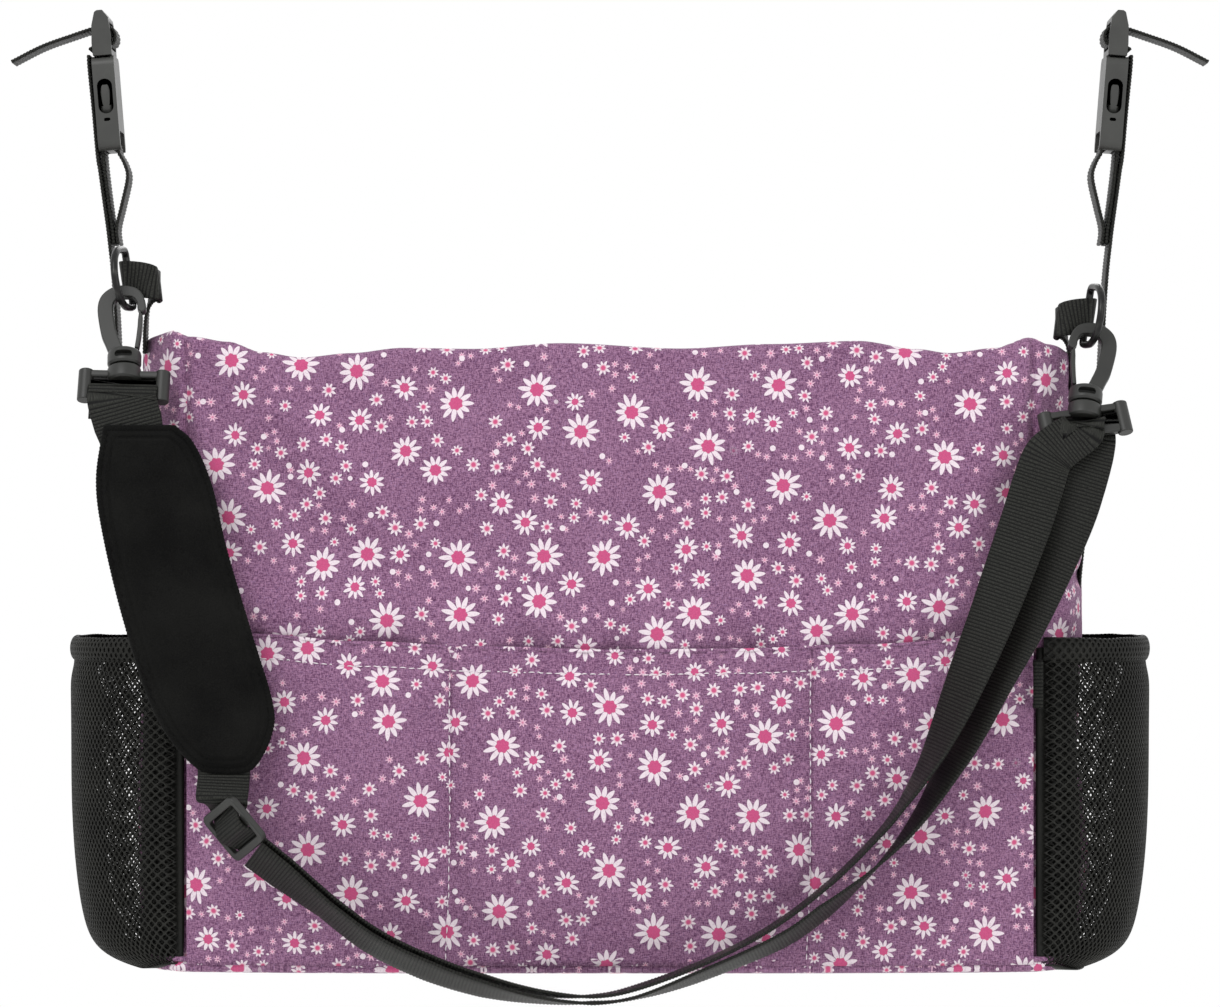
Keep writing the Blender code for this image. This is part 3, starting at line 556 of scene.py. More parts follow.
def strap(name, points, keys, width=WEB, thick=WEB_THICK, sizes=None):
    """Ribbed webbing along a curve through the points; keys give the direction of its width at each.

    sizes, where given, is its width at each point.
    """
    per_span = 8
    path = curve_through(points, per_span)
    widths = turning(keys, per_span)
    if sizes:
        wide = turning([Vector((size, 0, 0)) for size in sizes], per_span)
    else:
        wide = [Vector((width, 0, 0))] * len(path)
    _, wide, _ = resampled(path, wide, RIB / 4)
    path, widths, along = resampled(path, widths, RIB / 4)
    # Half of the section: place across the width, and thickness there
    profile = ((-1.0, 0.25), (-0.985, 0.7), (-0.95, 0.98), (-0.5, 1.0), (0.0, 1.0), (0.5, 1.0), (0.95, 0.98),
               (0.985, 0.7), (1.0, 0.25))
    verts, uvs = [], []
    for c, t, across, s, size in zip(path, tangents(path), widths, along, wide):
        w = (across - across.dot(t) * t).normalized()
        n = t.cross(w).normalized()
        half = thick / 2 + RIB_RISE * (abs(math.sin(math.pi * s / RIB)) - 0.6)
        for side in (1, -1):
            for a, h in profile[::side]:
                verts.append(c + w * (a * size.x / 2) + n * (side * h * half))
                uvs.append((s, a * size.x / 2 + side * 0.1))
    cols = 2 * len(profile)
    faces = grid_faces(len(path), cols, True)
    faces.append(tuple(range(cols))[::-1])
    faces.append(tuple((len(path) - 1) * cols + k for k in range(cols)))
    obj = facing_out(mesh_piece(name, verts, faces, WEBBING, uvs))
    return obj


def rod(name, path, radius, mat, closed=False, sides=16, up=None, cloth=None):
    """A round bar along a path; radius is a number or one for each point, and cloth shifts its flat map."""
    points = [Vector(p) for p in path]
    normal = Vector(up) if up else Vector((0, 1, 0))
    radii = radius if isinstance(radius, (list, tuple)) else [radius] * len(points)
    verts = []
    for p, t, r in zip(points, tangents(points, closed), radii):
        side = t.cross(normal).normalized()
        other = side.cross(t).normalized()
        for k in range(sides):
            a = 2 * math.pi * k / sides
            verts.append(p + side * math.cos(a) * r + other * math.sin(a) * r)
    faces = grid_faces(len(points), sides, True)
    if closed:
        last = (len(points) - 1) * sides
        faces += [(last + k, last + (k + 1) % sides, (k + 1) % sides, k) for k in range(sides)]
    else:
        faces.append(tuple(range(sides))[::-1])
        faces.append(tuple((len(points) - 1) * sides + k for k in range(sides)))
    uvs = [(v.x + cloth[0], v.z + cloth[1]) for v in verts] if cloth else None
    return facing_out(mesh_piece(name, verts, faces, mat, uvs))


def moulding(name, outline, thick, place, mat, bevel=0.5 * MM, holes=(), segments=3):
    """A moulded plate from an outline in x and y, with holes (outline, depth, lift) and rounded edges."""
    obj = slab(name, outline, thick, place, mat)
    for index, (hole, depth, lift) in enumerate(holes):
        cutter = slab(f"{name}_cutter_{index}", hole, depth, place @ Matrix.Translation((0, 0, lift)), mat)
        cut_away(obj, cutter)
    return rounded(obj, bevel, segments) if bevel else obj


def cut_away(obj, cutter):
    cut = obj.modifiers.new("cut", "BOOLEAN")
    cut.object = cutter
    cut.operation = "DIFFERENCE"
    cut.solver = "EXACT"
    applied(obj)
    bpy.data.objects.remove(cutter, do_unlink=True)


def slab(name, outline, thick, place, mat):
    count = len(outline)
    verts = [place @ Vector((x, y, z)) for z in (-thick / 2, thick / 2) for x, y in outline]
    faces = [tuple(range(count)), tuple(range(2 * count - 1, count - 1, -1))]
    faces += [(k, (k + 1) % count, count + (k + 1) % count, count + k) for k in range(count)]
    return facing_out(mesh_piece(name, verts, faces, mat, smooth=False))


def rounded(obj, bevel, segments=3):
    edge = obj.modifiers.new("edges", "BEVEL")
    edge.width = bevel
    edge.segments = segments
    edge.limit_method = "ANGLE"
    edge.angle_limit = math.radians(32)
    edge.harden_normals = True
    obj.data.shade_smooth()
    return applied(obj)


def rounded_box(width, height, radius, steps=6, middle=(0.0, 0.0)):
    out = []
    for cx, cy, start in ((1, 1, 0), (-1, 1, 90), (-1, -1, 180), (1, -1, 270)):
        for k in range(steps + 1):
            a = math.radians(start + 90 * k / steps)
            x = middle[0] + cx * (width / 2 - radius) + radius * math.cos(a)
            y = middle[1] + cy * (height / 2 - radius) + radius * math.sin(a)
            out.append((x, y))
    return out


def lathe(name, profile, place, mat, sides=36):
    """A solid turned about the place's Y axis from (radius, height) pairs, in millimetres."""
    verts = []
    for r, h in profile:
        for k in range(sides):
            a = 2 * math.pi * k / sides
            verts.append(place @ Vector((r * math.cos(a) * MM, h * MM, r * math.sin(a) * MM)))
    faces = grid_faces(len(profile), sides, True)
    faces.append(tuple(range(sides))[::-1])
    faces.append(tuple((len(profile) - 1) * sides + k for k in range(sides)))
    return facing_out(mesh_piece(name, verts, faces, mat, smooth=False))


def axes_matrix(x, y, z, origin):
    place = Matrix.Identity(4)
    for column, axis in enumerate((x, y, z)):
        for row in range(3):
            place[row][column] = axis[row]
    place.translation = origin
    return place


# ---------------------------------------------------------------- bag body


def face_y(x, z):
    """How far the bag's front or back stands out: full low down, drawn in at the seams and the top edge."""
    across = 1 - min(1.0, abs(x) / SEAM_X) ** 4
    height = (z - BASE_TOP_Z) / (WALL_TOP_Z - BASE_TOP_Z)
    return SEAM_Y + (FRONT_Y - SEAM_Y) * across * (1 - max(0.0, height) ** 4)


def outline_at(u, z):
    """A point on the bag's outline at this height, and the way out from it.

    u runs from 0 to 4: along the front, round the right gusset, along the back, round the left gusset.
    """
    side, t = int(min(u, 3.9999)), u - int(min(u, 3.9999))
    bulge = GUSSET_X - SEAM_X
    if side in (0, 2):
        sign = -1 if side == 0 else 1
        x = -sign * SEAM_X * (2 * t - 1)
        return Vector((x, sign * face_y(x, z), z)), Vector((0, sign, 0))
    sign = 1 if side == 1 else -1
    a = math.pi * (t - 0.5)
    point = Vector((sign * (SEAM_X + bulge * math.cos(a)), sign * SEAM_Y * math.sin(a), z))
    return point, Vector((sign * math.cos(a), sign * 0.6 * math.sin(a), 0)).normalized()


def body_relief(point, out):
    """How far the soft body stands out from its plain shape: creases, sags and pulled-in seams."""
    x, z = point.x, point.z
    height = (z - BASE_TOP_Z) / (WALL_TOP_Z - BASE_TOP_Z)
    relief = 3.8 * MM * soft_noise(x, point.y * 0.5, z, 75 * MM)
    relief += 1.1 * MM * soft_noise(x + 1, point.y, z, 26 * MM)
    # Folds that fan down from each top corner and die out below the middle
    for corner in (-1, 1):
        dx, dz = x - corner * 190 * MM, -60 * MM - z
        angle = math.atan2(dz, -corner * dx + 25 * MM)
        reach = math.hypot(dx, dz)
        relief += 1.9 * MM * math.sin(angle * 11 + corner) * bump(reach, 105 * MM, 62 * MM)
    if out.y < -0.5:
        drag = (x + 0.15) * 0.75 + (z + 0.14) * 0.66
        relief += (2.0 * MM * bump(x, -150 * MM, 60 * MM) * bump(z, -135 * MM, 40 * MM)
                   * math.sin(drag / (6.5 * MM)))
        sag = height_at(x, POCKET_EDGE) + 15 * MM
        relief += (2.5 + 3.5 * bump(x, -140 * MM, 60 * MM)) * MM * bump(z, sag, 13 * MM)
        behind = min(1.0, max(0.0, (height_at(x, POCKET_EDGE) - 3 * MM - z) / (14 * MM)))
        relief = relief * (1 - behind) - 2.5 * MM * behind
    else:
        # The back and the gussets slump a little above the base
        relief += 2.6 * MM * bump(height, 0.16, 0.1) * (0.6 + soft_noise(x, point.y, 0.7, 60 * MM))
    from_seam = abs(abs(x) - SEAM_X)
    relief -= 2.9 * MM * math.exp(-((from_seam / (1.7 * MM)) ** 2))
    relief *= min(1.0, (z - BASE_TOP_Z) / (20 * MM) + 0.15)
    # The rear wall is held flatter, so that it stays inside its depth
    return relief if out.y < 0.5 else min(relief, 1.5 * MM)


def bag_columns():
    """The u values of the outline's columns, finer beside the seams."""
    us = []
    for side, count in enumerate((150, 46, 120, 46)):
        for k in range(count):
            swing = math.cos(math.pi * k / count)
            us.append(side + 0.5 - 0.5 * swing * (0.55 + 0.45 * abs(swing)))
    return us


def bag_body():
    """One shell all round: soft walls, a rolled top edge and a turned-in facing behind it."""
    us = bag_columns()
    plain = [outline_at(u, BASE_TOP_Z + 60 * MM)[0] for u in us]
    runs = [0.0]
    for a, b in zip(plain, plain[1:] + plain[:1]):
        runs.append(runs[-1] + (b - a).length)
    rows = [k / 92 for k in range(93)]
    verts, uvs, pins = [], [], []
    # The seam column comes twice, so that the cloth's flat map doesn't jump
    columns = [*enumerate(us), (len(us), us[0])]
    for v in rows:
        for k, u in columns:
            x = outline_at(u, 0)[0].x
            top = height_at(x, TOP_EDGE) - EDGE_ROLL
            z = BASE_TOP_Z + v * (top - BASE_TOP_Z)
            point, out = outline_at(u, z)
            verts.append(point + out * body_relief(point, out))
            uvs.append((runs[k], z))
            seam = math.exp(-((abs(abs(x) - SEAM_X) / (3 * MM)) ** 2))
            behind = 1.0 if out.y < -0.5 and z < height_at(x, POCKET_EDGE) - 10 * MM else 0.0
            pins.append(1.0 if v in (0.0, 1.0) else max(seam, behind, 1 - v * 14, 1 - (1 - v) * 12, 0.0))
    for step in range(1, 9):
        angle = math.radians(22.5 * min(step, 7))
        drop = EDGE_ROLL * 0.4 * max(0, step - 6) * 6
        for k, u in columns:
            last = verts[(len(rows) - 1) * len(columns) + k]
            out = outline_at(u, last.z)[1]
            point = last - out * EDGE_ROLL * (1 - math.cos(angle))
            point += Vector((0, 0, EDGE_ROLL * math.sin(angle) - drop * 0.5))
            verts.append(point)
            uvs.append((runs[k], last.z + EDGE_ROLL * angle + drop))
            pins.append(1.0)
    obj = mesh_piece("bag_body", verts, grid_faces(len(rows) + 8, len(columns)), PRINT, uvs)
    simulate(obj, pins, 5.0, grow=0.02, cap=3.5 * MM)
    thicken(obj, 1.6 * MM)
    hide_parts("front_panel", "back_panel", "left_gusset", "right_gusset")
    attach(obj, "bag")


def bag_base():
    """The flat base, closed round its edge by a rolled welt that shows below the walls."""
    us = spaced(0, 4, 260)[:-1]
    rings = ((0.0, 2.2), (0.6, 1.2), (1.0, 0.0), (0.7, -1.6), (0.0, -2.6), (-2.0, -3.4), (-10.0, -4.4),
             (-30.0, -4.4))
    verts, uvs = [], []
    for out_by, down in rings:
        for u in us:
            point, out = outline_at(u, BASE_TOP_Z)
            ripple = 0.5 * MM * soft_noise(point.x, point.y, out_by, 30 * MM)
            lift = 3.0 * MM * bump(point.x, -165 * MM, 12 * MM) if point.y < 0 else 0.0
            moved = point + out * (out_by * MM + ripple)
            moved.z = max(LOW_Z + 0.1 * MM, BASE_TOP_Z + down * MM + lift * (out_by > -1))
            verts.append(moved)
            uvs.append((moved.x, moved.y + down * MM))
    faces = grid_faces(len(rings), len(us), True)
    faces.append(tuple((len(rings) - 1) * len(us) + k for k in range(len(us))))
    obj = facing_out(mesh_piece("bag_base", verts, faces, PRINT, uvs))
    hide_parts("base_panel")
    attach(obj, "bag")
    welt = []
    for u in us:
        point, out = outline_at(u, BASE_TOP_Z)
        lift = 3.0 * MM * bump(point.x, -165 * MM, 12 * MM) if point.y < 0 else 0.0
        welt.append(point + out * 0.9 * MM + Vector((0, 0, 2.6 * MM + lift)))
    piping = rod("base_piping", welt, 1.3 * MM, PRINT_PLAIN, True, 8, up=(0, 0, 1))
    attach(piping, "bag")


def closure_half(y):
    """Half the width of the top closure at this depth, inside the gusset's curve."""
    return SEAM_X + (GUSSET_X - SEAM_X - 5.5 * MM) * math.sqrt(max(0.0, 1 - (y / SEAM_Y) ** 2))


def top_closure():
    """Two soft strips slope down to the zip, puckered a little along it."""
    for name, side in (("front", -1), ("rear", 1)):
        verts, uvs = [], []
        cols, rows = 130, 20
        for j in range(rows + 1):
            v = j / rows
            y = side * (7.5 * MM + v * (SEAM_Y - 13.5 * MM))
            for i in range(cols + 1):
                x = (2 * i / cols - 1) * closure_half(y)
                rise = height_at(x, TOP_EDGE) - 4 * MM - ZIP_Z
                pucker = 0.5 * MM * math.sin(x / (3.1 * MM)) * math.exp(-v * 7)
                z = ZIP_Z + v * rise + 1.6 * MM * math.sin(math.pi * v) + pucker
                z += 1.6 * MM * soft_noise(x, y, 0.3, 34 * MM) * math.sin(math.pi * min(1, v + 0.1))
                verts.append(Vector((x, y, z)))
                uvs.append((x + 0.9, y + side * 0.3))
        faces = grid_faces(rows + 1, cols + 1)
        if side < 0:
            faces = [f[::-1] for f in faces]
        obj = mesh_piece(f"top_closure_{name}", verts, faces, PRINT, uvs)
        thicken(obj, 1.2 * MM)
        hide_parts(f"top_panel_{name}")
        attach(obj, "bag")


def zip_teeth():
    """The coil's teeth, side by side along the whole zip, and the tapes and end tabs that carry it."""
    pitch = 1.5 * MM
    verts, faces = [], []
    count = int(2 * ZIP_HALF / pitch)
    for k in range(count):
        x = -ZIP_HALF + (k + 0.5) * pitch
        side = 1 if k % 2 else -1
        low = len(verts)
        for dx, dy, dz in ((-0.5, -1.9, -0.9), (0.5, -1.9, -0.9), (0.5, 1.2, -0.9), (-0.5, 1.2, -0.9),
                           (-0.36, -1.6, 0.0), (0.36, -1.6, 0.0), (0.36, 0.8, 0.0), (-0.36, 0.8, 0.0)):
            verts.append((x + dx * MM, side * dy * MM, ZIP_Z + (dz - 0.3) * MM))
        faces += [tuple(low + i for i in f) for f in ((0, 1, 2, 3), (4, 7, 6, 5), (0, 4, 5, 1), (1, 5, 6, 2),
                                                      (2, 6, 7, 3), (3, 7, 4, 0))]
    obj = facing_out(mesh_piece("zip_teeth", verts, faces, BUCKLE, smooth=False))
    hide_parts("zip_coil")
    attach(obj, "bag")
    for node in ("zip_tape_front", "zip_tape_rear"):
        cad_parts[node].material_slots[0].material = TAPE
    for node in ("zip_end_tab_left", "zip_end_tab_right"):
        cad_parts[node].material_slots[0].material = PRINT_PLAIN
    for node in ("zip_slider", "zip_pull"):
        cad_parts[node].material_slots[0].material = ZIP_METAL


# ---------------------------------------------------------------- front pocket


def pocket_point(x, v):
    """A point on the front pocket: v from 0 at the base to 1 at its open edge."""
    z = BASE_TOP_Z + v * (height_at(x, POCKET_EDGE) - BASE_TOP_Z)
    depth = 0.0
    for low, high in zip(COMPARTMENTS, COMPARTMENTS[1:]):
        if low <= x <= high:
            depth = math.sin(math.pi * (x - low) / (high - low)) ** 0.55
    y = -face_y(x, z) - 2.2 * MM - (POCKET_Y - FRONT_Y - 4 * MM) * depth * min(1, 2.0 * v) * (0.75 + 0.25 * v)
    y -= 1.2 * MM * soft_noise(x, 0.2, z, 40 * MM) * min(1, 4 * v) * depth
    for at in POCKET_STITCHES:
        y += 0.7 * MM * bump(x, at, 1.6 * MM) * v
    return Vector((x, y, z))


def pocket_stitch_x(at, v):
    """The stitch lines wander a few millimetres to the left on their way down."""
    return at - 3 * MM * (1 - v) + 0.8 * MM * math.sin(5 * v)


def front_pocket():
    """The wide pocket: a panel with a doubled hem, three sewn compartments and white topstitching."""
    xs = []
    for low, high in zip(COMPARTMENTS, COMPARTMENTS[1:]):
        xs += [low + (high - low) * (0.5 - 0.5 * math.cos(math.pi * k / 48)) for k in range(48)]
    xs.append(SEAM_X)
    vs = [k / 44 for k in range(45)]
    verts, uvs, pins = [], [], []
    for v in vs:
        for x in xs:
            point = pocket_point(x, v)
            verts.append(point)
            uvs.append((x + 0.63, point.z + 0.37))
            near = min(abs(x - at) for at in (*POCKET_STITCHES, -SEAM_X, SEAM_X))
            pins.append(max(math.exp(-((near / (2.5 * MM)) ** 2)), 1 - v * 12, 0.35 if v > 0.93 else 0.0))
    obj = mesh_piece("front_pocket", verts, grid_faces(len(vs), len(xs)), PRINT, uvs)
    simulate(obj, pins, 3.0, frames=10, grow=0.02, cap=2 * MM)
    thicken(obj, 1.4 * MM)
    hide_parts("front_pocket_panel")
    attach(obj, "bag")

    lip = [pocket_point(x, 1.0) + Vector((0, 0.5 * MM, 0.2 * MM)) for x in xs]
    edge = rod("pocket_lip", lip, 1.0 * MM, PRINT, False, 10, up=(0, 0, 1), cloth=(0.63, 0.37))
    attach(edge, "bag")

    graph = bpy.context.evaluated_depsgraph_get()
    surface = obj.evaluated_get(graph)
    lines = []
    hem = 11 * MM
    top_line = []
    for x in spaced(-SEAM_X + 4 * MM, SEAM_X - 4 * MM, 400):
        span = height_at(x, POCKET_EDGE) - BASE_TOP_Z
        top_line.append(pocket_point(x, 1 - hem / span))
    lines.append(top_line)
    for at in POCKET_STITCHES:
        lines.append([pocket_point(pocket_stitch_x(at, v), v) for v in spaced(0.02, 0.93, 160)])
    seams = stitches("pocket_stitching", lines, surface, "bag")


def stitches(name, lines, surface, body, pitch=4.2 * MM, length=3.0 * MM, thick=0.26 * MM):
    """Rows of short white stitches that lie on a surface and dip into it at their ends."""
    verts, faces = [], []
    for line in lines:
        points, _, _ = resampled(line, line, pitch / 6)
        for start in range(0, len(points) - 6, 6):
            run = points[start : start + 6]
            on = []
            for k in range(5):
                goal = run[0].lerp(run[-1], k / 4 * length / pitch * 1.2)
                found, hit, normal, _ = surface.closest_point_on_mesh(goal)
                if normal.y > 0:
                    normal = -normal
                lift = (0.1, 0.42, 0.5, 0.42, 0.1)[k] * MM
                on.append((hit if found else goal) + normal * lift)
            along = (on[-1] - on[0]).normalized()
            side = along.cross(Vector((0, -1, 0))).normalized()
            other = side.cross(along)
            low = len(verts)
            for k, p in enumerate(on):
                r = thick * (0.45, 1.0, 1.1, 1.0, 0.45)[k]
                for a in range(6):
                    turn = math.pi * a / 3
                    verts.append(p + (side * math.cos(turn) + other * math.sin(turn)) * r)
            faces += [tuple(low + i for i in f) for f in grid_faces(5, 6, True)]
            faces.append(tuple(low + k for k in range(6))[::-1])
            faces.append(tuple(low + 24 + k for k in range(6)))
    obj = mesh_piece(name, verts, faces, THREAD)
    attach(obj, body)
    return obj


# ---------------------------------------------------------------- mesh pockets


def mesh_wall(sign, a, h):
    """A point on the mesh pocket's wall: a is the angle round it, h the height from 0 to 1."""
    inner = SEAM_X + 1.5 * MM
    reach = MESH_X - inner
    foot = 1 - 0.20 * (1 - h) ** 3 - 0.35 * math.exp(-h * 26)
    neck = 1 - 0.035 * math.exp(-(((h - 1) / 0.05) ** 2))
    sag = 0.02 * math.sin(6 * h + a)
    full = reach * foot * neck * (0.985 + sag * 0.5)
    x = inner + full * max(0.0, math.cos(a)) ** 0.62
    deep = math.copysign(abs(math.sin(a)) ** 0.85, a)
    y = (MESH_Y - 0.5 * MM) * deep * (1 - 0.04 * math.exp(-h * 20))
    y += 0.8 * MM * soft_noise(a * 0.2, h * 0.5, sign, 0.12)
    z = LOW_Z + 1.5 * MM + h * (MESH_TOP_Z - LOW_Z - 1.5 * MM) + 3 * MM * bump(a, -1.45, 0.35) * (1 - h)
    return Vector((sign * x, y, z))


def lattice(name, surface, across, up, size, hole, mat, points=8):
    """A net of staggered diamonds over surface(u, v), both from 0 to 1; across and up are its real size."""
    wide, tall = size
    cols, rows = max(2, round(across / wide)), max(2, round(up / tall))
    verts, faces, index = [], [], {}

    def corner(u, v):
        key = (round(u * 4000), round(v * 4000))
        if key not in index:
            index[key] = len(verts)
            verts.append(surface(min(1, max(0, u)), min(1, max(0, v))))
        return index[key]

    ring = []
    for k in range(points):
        a = 2 * math.pi * k / points
        c, s = math.cos(a), math.sin(a)
        reach = 0.5 / (abs(c) + abs(s))
        inner = hole * 0.5 / (abs(c) ** 1.5 + abs(s) ** 1.5) ** (1 / 1.5)
        ring.append(((reach * c, reach * s), (inner * c, inner * s)))
    for j in range(2 * rows + 1):
        for i in range(cols + (0 if j % 2 else 1)):
            u0 = (i + (0.5 if j % 2 else 0.0)) / cols
            v0 = j / (2 * rows)
            if u0 < 0.4 / cols or u0 > 1 - 0.4 / cols or j in (0, 2 * rows):
                continue
            outer = [corner(u0 + x / cols, v0 + y / rows) for (x, y), _ in ring]
            low = len(verts)
            for _, (x, y) in ring:
                verts.append(surface(u0 + x / cols, v0 + y / rows))
            for k in range(points):
                m = (k + 1) % points
                faces.append((outer[k], outer[m], low + m, low + k))
    return mesh_piece(name, verts, faces, mat)


def mesh_pocket(name, sign):
    """An air-mesh pouch: an open outer knit over a finer one, gathered at the foot, with a rolled hem."""
    low, high = -1.56, 1.56
    bands = []
    for label, inset, size, hole, mat, thick in (
        ("knit", 0.0, (2.9 * MM, 4.2 * MM), 0.66, MESH_FACE, 0.7 * MM),
        ("liner", 2.0 * MM, (2.3 * MM, 3.0 * MM), 0.66, MESH_BACK, 0.3 * MM),
    ):

        def surface(u, v, inset=inset):
            a = low + (high - low) * u
            point = mesh_wall(sign, a, v * 1.03)
            point.x -= sign * inset * math.cos(a)
            point.y -= inset * math.sin(a)
            return point

        obj = lattice(f"{name}_pocket_{label}", surface, 165 * MM, 148 * MM, size, hole, mat,
                      8 if label == "knit" else 4)
        thicken(obj, thick, -1.0 if sign > 0 else 1.0)
        bands.append(obj)

    def hem(u, v):
        a = low + (high - low) * u
        turn = math.pi * (v * 1.15 - 0.08)
        point = mesh_wall(sign, a, 0.96)
        out = Vector((sign * math.cos(a), math.sin(a), 0)).normalized()
        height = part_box(f"{name}_pocket_hem")[1][2] - 6.3 * MM
        puff = 1 + 0.12 * soft_noise(a * 0.1, 0, sign, 0.03)
        point.z = height - 5.9 * MM * math.cos(turn) * puff
        return point + out * (2.7 * MM * math.sin(turn) - 1.5 * MM)

    band = lattice(f"{name}_hem_knit", hem, 165 * MM, 17 * MM, (2.8 * MM, 3.8 * MM), 0.5, MESH_FACE)
    thicken(band, 0.6 * MM, -1.0 if sign > 0 else 1.0)
    bands.append(band)

    def core(u, v):
        point = hem(u, v)
        a = low + (high - low) * u
        return point - Vector((sign * math.cos(a), math.sin(a), 0)) * 0.9 * MM

    verts = [core(i / 90, j / 8) for j in range(9) for i in range(91)]
    bands.append(mesh_piece(f"{name}_hem_core", verts, grid_faces(9, 91), MESH_BACK))

    floor = []
    for s in (1.0, 0.0):
        for a in spaced(low, high, 60):
            edge = mesh_wall(sign, a, 0.0)
            hinge = Vector((sign * (SEAM_X + 20 * MM * math.cos(a)), SEAM_Y * math.sin(a) * 0.97, edge.z))
            floor.append(hinge.lerp(edge, s))
    bands.append(thicken(mesh_piece(f"{name}_pocket_floor", floor, grid_faces(2, 61), MESH_BACK), 0.8 * MM))

    lining = []
    for h in spaced(LOW_Z + 6 * MM, MESH_TOP_Z + 6 * MM, 24):
        for t in spaced(0.02, 0.98, 60):
            point, out = outline_at((1 if sign > 0 else 3) + t, h)
            lining.append(point + out * (2.2 * MM + body_relief(point, out)))
    lining = mesh_piece(f"{name}_pocket_lining", lining, grid_faces(25, 61), MESH_BACK)
    bands.append(thicken(lining, 0.5 * MM))

    for obj in bands:
        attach(obj, "bag")
    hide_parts(f"{name}_mesh_pocket")
    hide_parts(f"{name}_pocket_hem")
    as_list(bands[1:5])


def pocket_tab(name, sign):
    """A folded webbing tab beside the pocket's mouth, with a rounded fold."""
    low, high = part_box(f"{name}_pocket_tab")
    x = (low[0] + high[0]) / 2
    front = low[1] + 1.4 * MM
    upper = [(high[1], high[2] - 4 * MM), (front + 1 * MM, high[2] - 2.5 * MM), (front, high[2] - 8 * MM)]
    lower = [(front, low[2] + 6 * MM), (front + 1 * MM, low[2] + 2 * MM), (high[1], low[2] + 3 * MM)]
    points = [(x, y, z) for y, z in upper + lower]
    keys = [Vector((1, 0, 0))] * len(points)
    obj = strap(f"{name}_tab", points, keys, width=high[0] - low[0], thick=1.4 * MM)
    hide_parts(f"{name}_pocket_tab")
    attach(obj, "bag")


# ---------------------------------------------------------------- side rings, loops and stroller straps

SIDES = {
    "left": {"sign": -1, "pivot": Vector((-234, -42, -61)) * MM, "turn": -0.05},
    "right": {"sign": 1, "pivot": Vector((232, -42, -79)) * MM, "turn": 0.28},
}
LEVEL = Vector((0, 1, 0))
RING_ROD = 1.8 * MM
RING_DROP = 7.2 * MM
PLATE_DROP = 47 * MM
# Leans from upright and turns about it, in radians
RING_LEAN = 0.15
RING_TURN = 0.24
BUCKLE_LEAN = 0.08
HOOK_LEAN = 0.42
PAD_LEAN = 0.055


def ring_up(side):
    return Vector((side["sign"] * RING_LEAN, 0, 1)).normalized()


def ring_and_loop(name, side):
    """A D-ring standing edge-on, and the webbing loop that curls out of the gusset to hold it."""
    s = side["sign"]
    up = ring_up(side)
    pivot = side["pivot"]
    centre = pivot + up * RING_DROP
    bar_y, half, front = 9 * MM, 14 * MM, 12.5 * MM
    corners = [(bar_y, h) for h in (half - 2 * MM, 0, -half + 2 * MM)] + [(bar_y - 2 * MM, -half)]
    for a in spaced(-90, 90, 10):
        corners.append((-front * math.cos(math.radians(a)), half * math.sin(math.radians(a))))
    corners.append((bar_y - 2 * MM, half))
    corners.append(corners[0])
    lean = Matrix.Translation(pivot) @ Matrix.Rotation(s * RING_TURN, 4, up) @ Matrix.Translation(-pivot)
    path = curve_through([lean @ (centre + Vector((0, y, 0)) + up * h) for y, h in corners], 5)[:-1]
    ring = rod(f"{name}_ring", path, RING_ROD, RING, True, 20, up=lean.to_3x3() @ up.cross(LEVEL))
    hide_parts(f"{name}_d_ring")
    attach(ring, f"{name}_ring")

    bar = lean @ (centre + Vector((0, bar_y, 0)))
    grip = RING_ROD + 0.3 * MM + WEB_THICK / 2
    wrap = [bar + Vector((grip * s * math.cos(a), grip * math.sin(a), 0)) for a in spaced(2.1, -1.5, 8)]
    lead = [bar + Vector((-s * x, y, z)) * MM for x, y, z in (
        (5, -3.4, -0.5), (10, -3.8, -1.5), (13.5, -2.6, -2.5), (14.6, 0.4, -3.5), (13.4, 3.4, -5),
        (10.6, 5.4, -9), (8.4, 6.6, -16), (7.6, 7.4, -25), (7.4, 8, -36))]
    lean_by = (0.06, 0.16, 0.26, 0.36, 0.5, 0.68, 0.88, 1.0, 1.0)
    keys = [up] * len(wrap) + [up.lerp(LEVEL, t).normalized() for t in lean_by]
    loop = strap(f"{name}_loop", wrap + lead, keys, width=17 * MM)
    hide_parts(f"{name}_side_loop")
    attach(loop, "bag")


def buckle_place(side):
    """The buckle's frame: x along the bag's depth, y up the buckle, z out through its thickness."""
    s = side["sign"]
    up = Vector((s * BUCKLE_LEAN, 0, 1)).normalized()
    out = Vector((s, 0, -BUCKLE_LEAN)).normalized()
    return axes_matrix(up.cross(out), up, out, Vector((s * 244, 0, 14)) * MM - up * 14 * MM)


def beside_buckle(place, pairs):
    """Points half way through the buckle's depth, from (out, up) pairs in millimetres."""
    return [place @ (Vector((0, up, out)) * MM) for out, up in pairs]


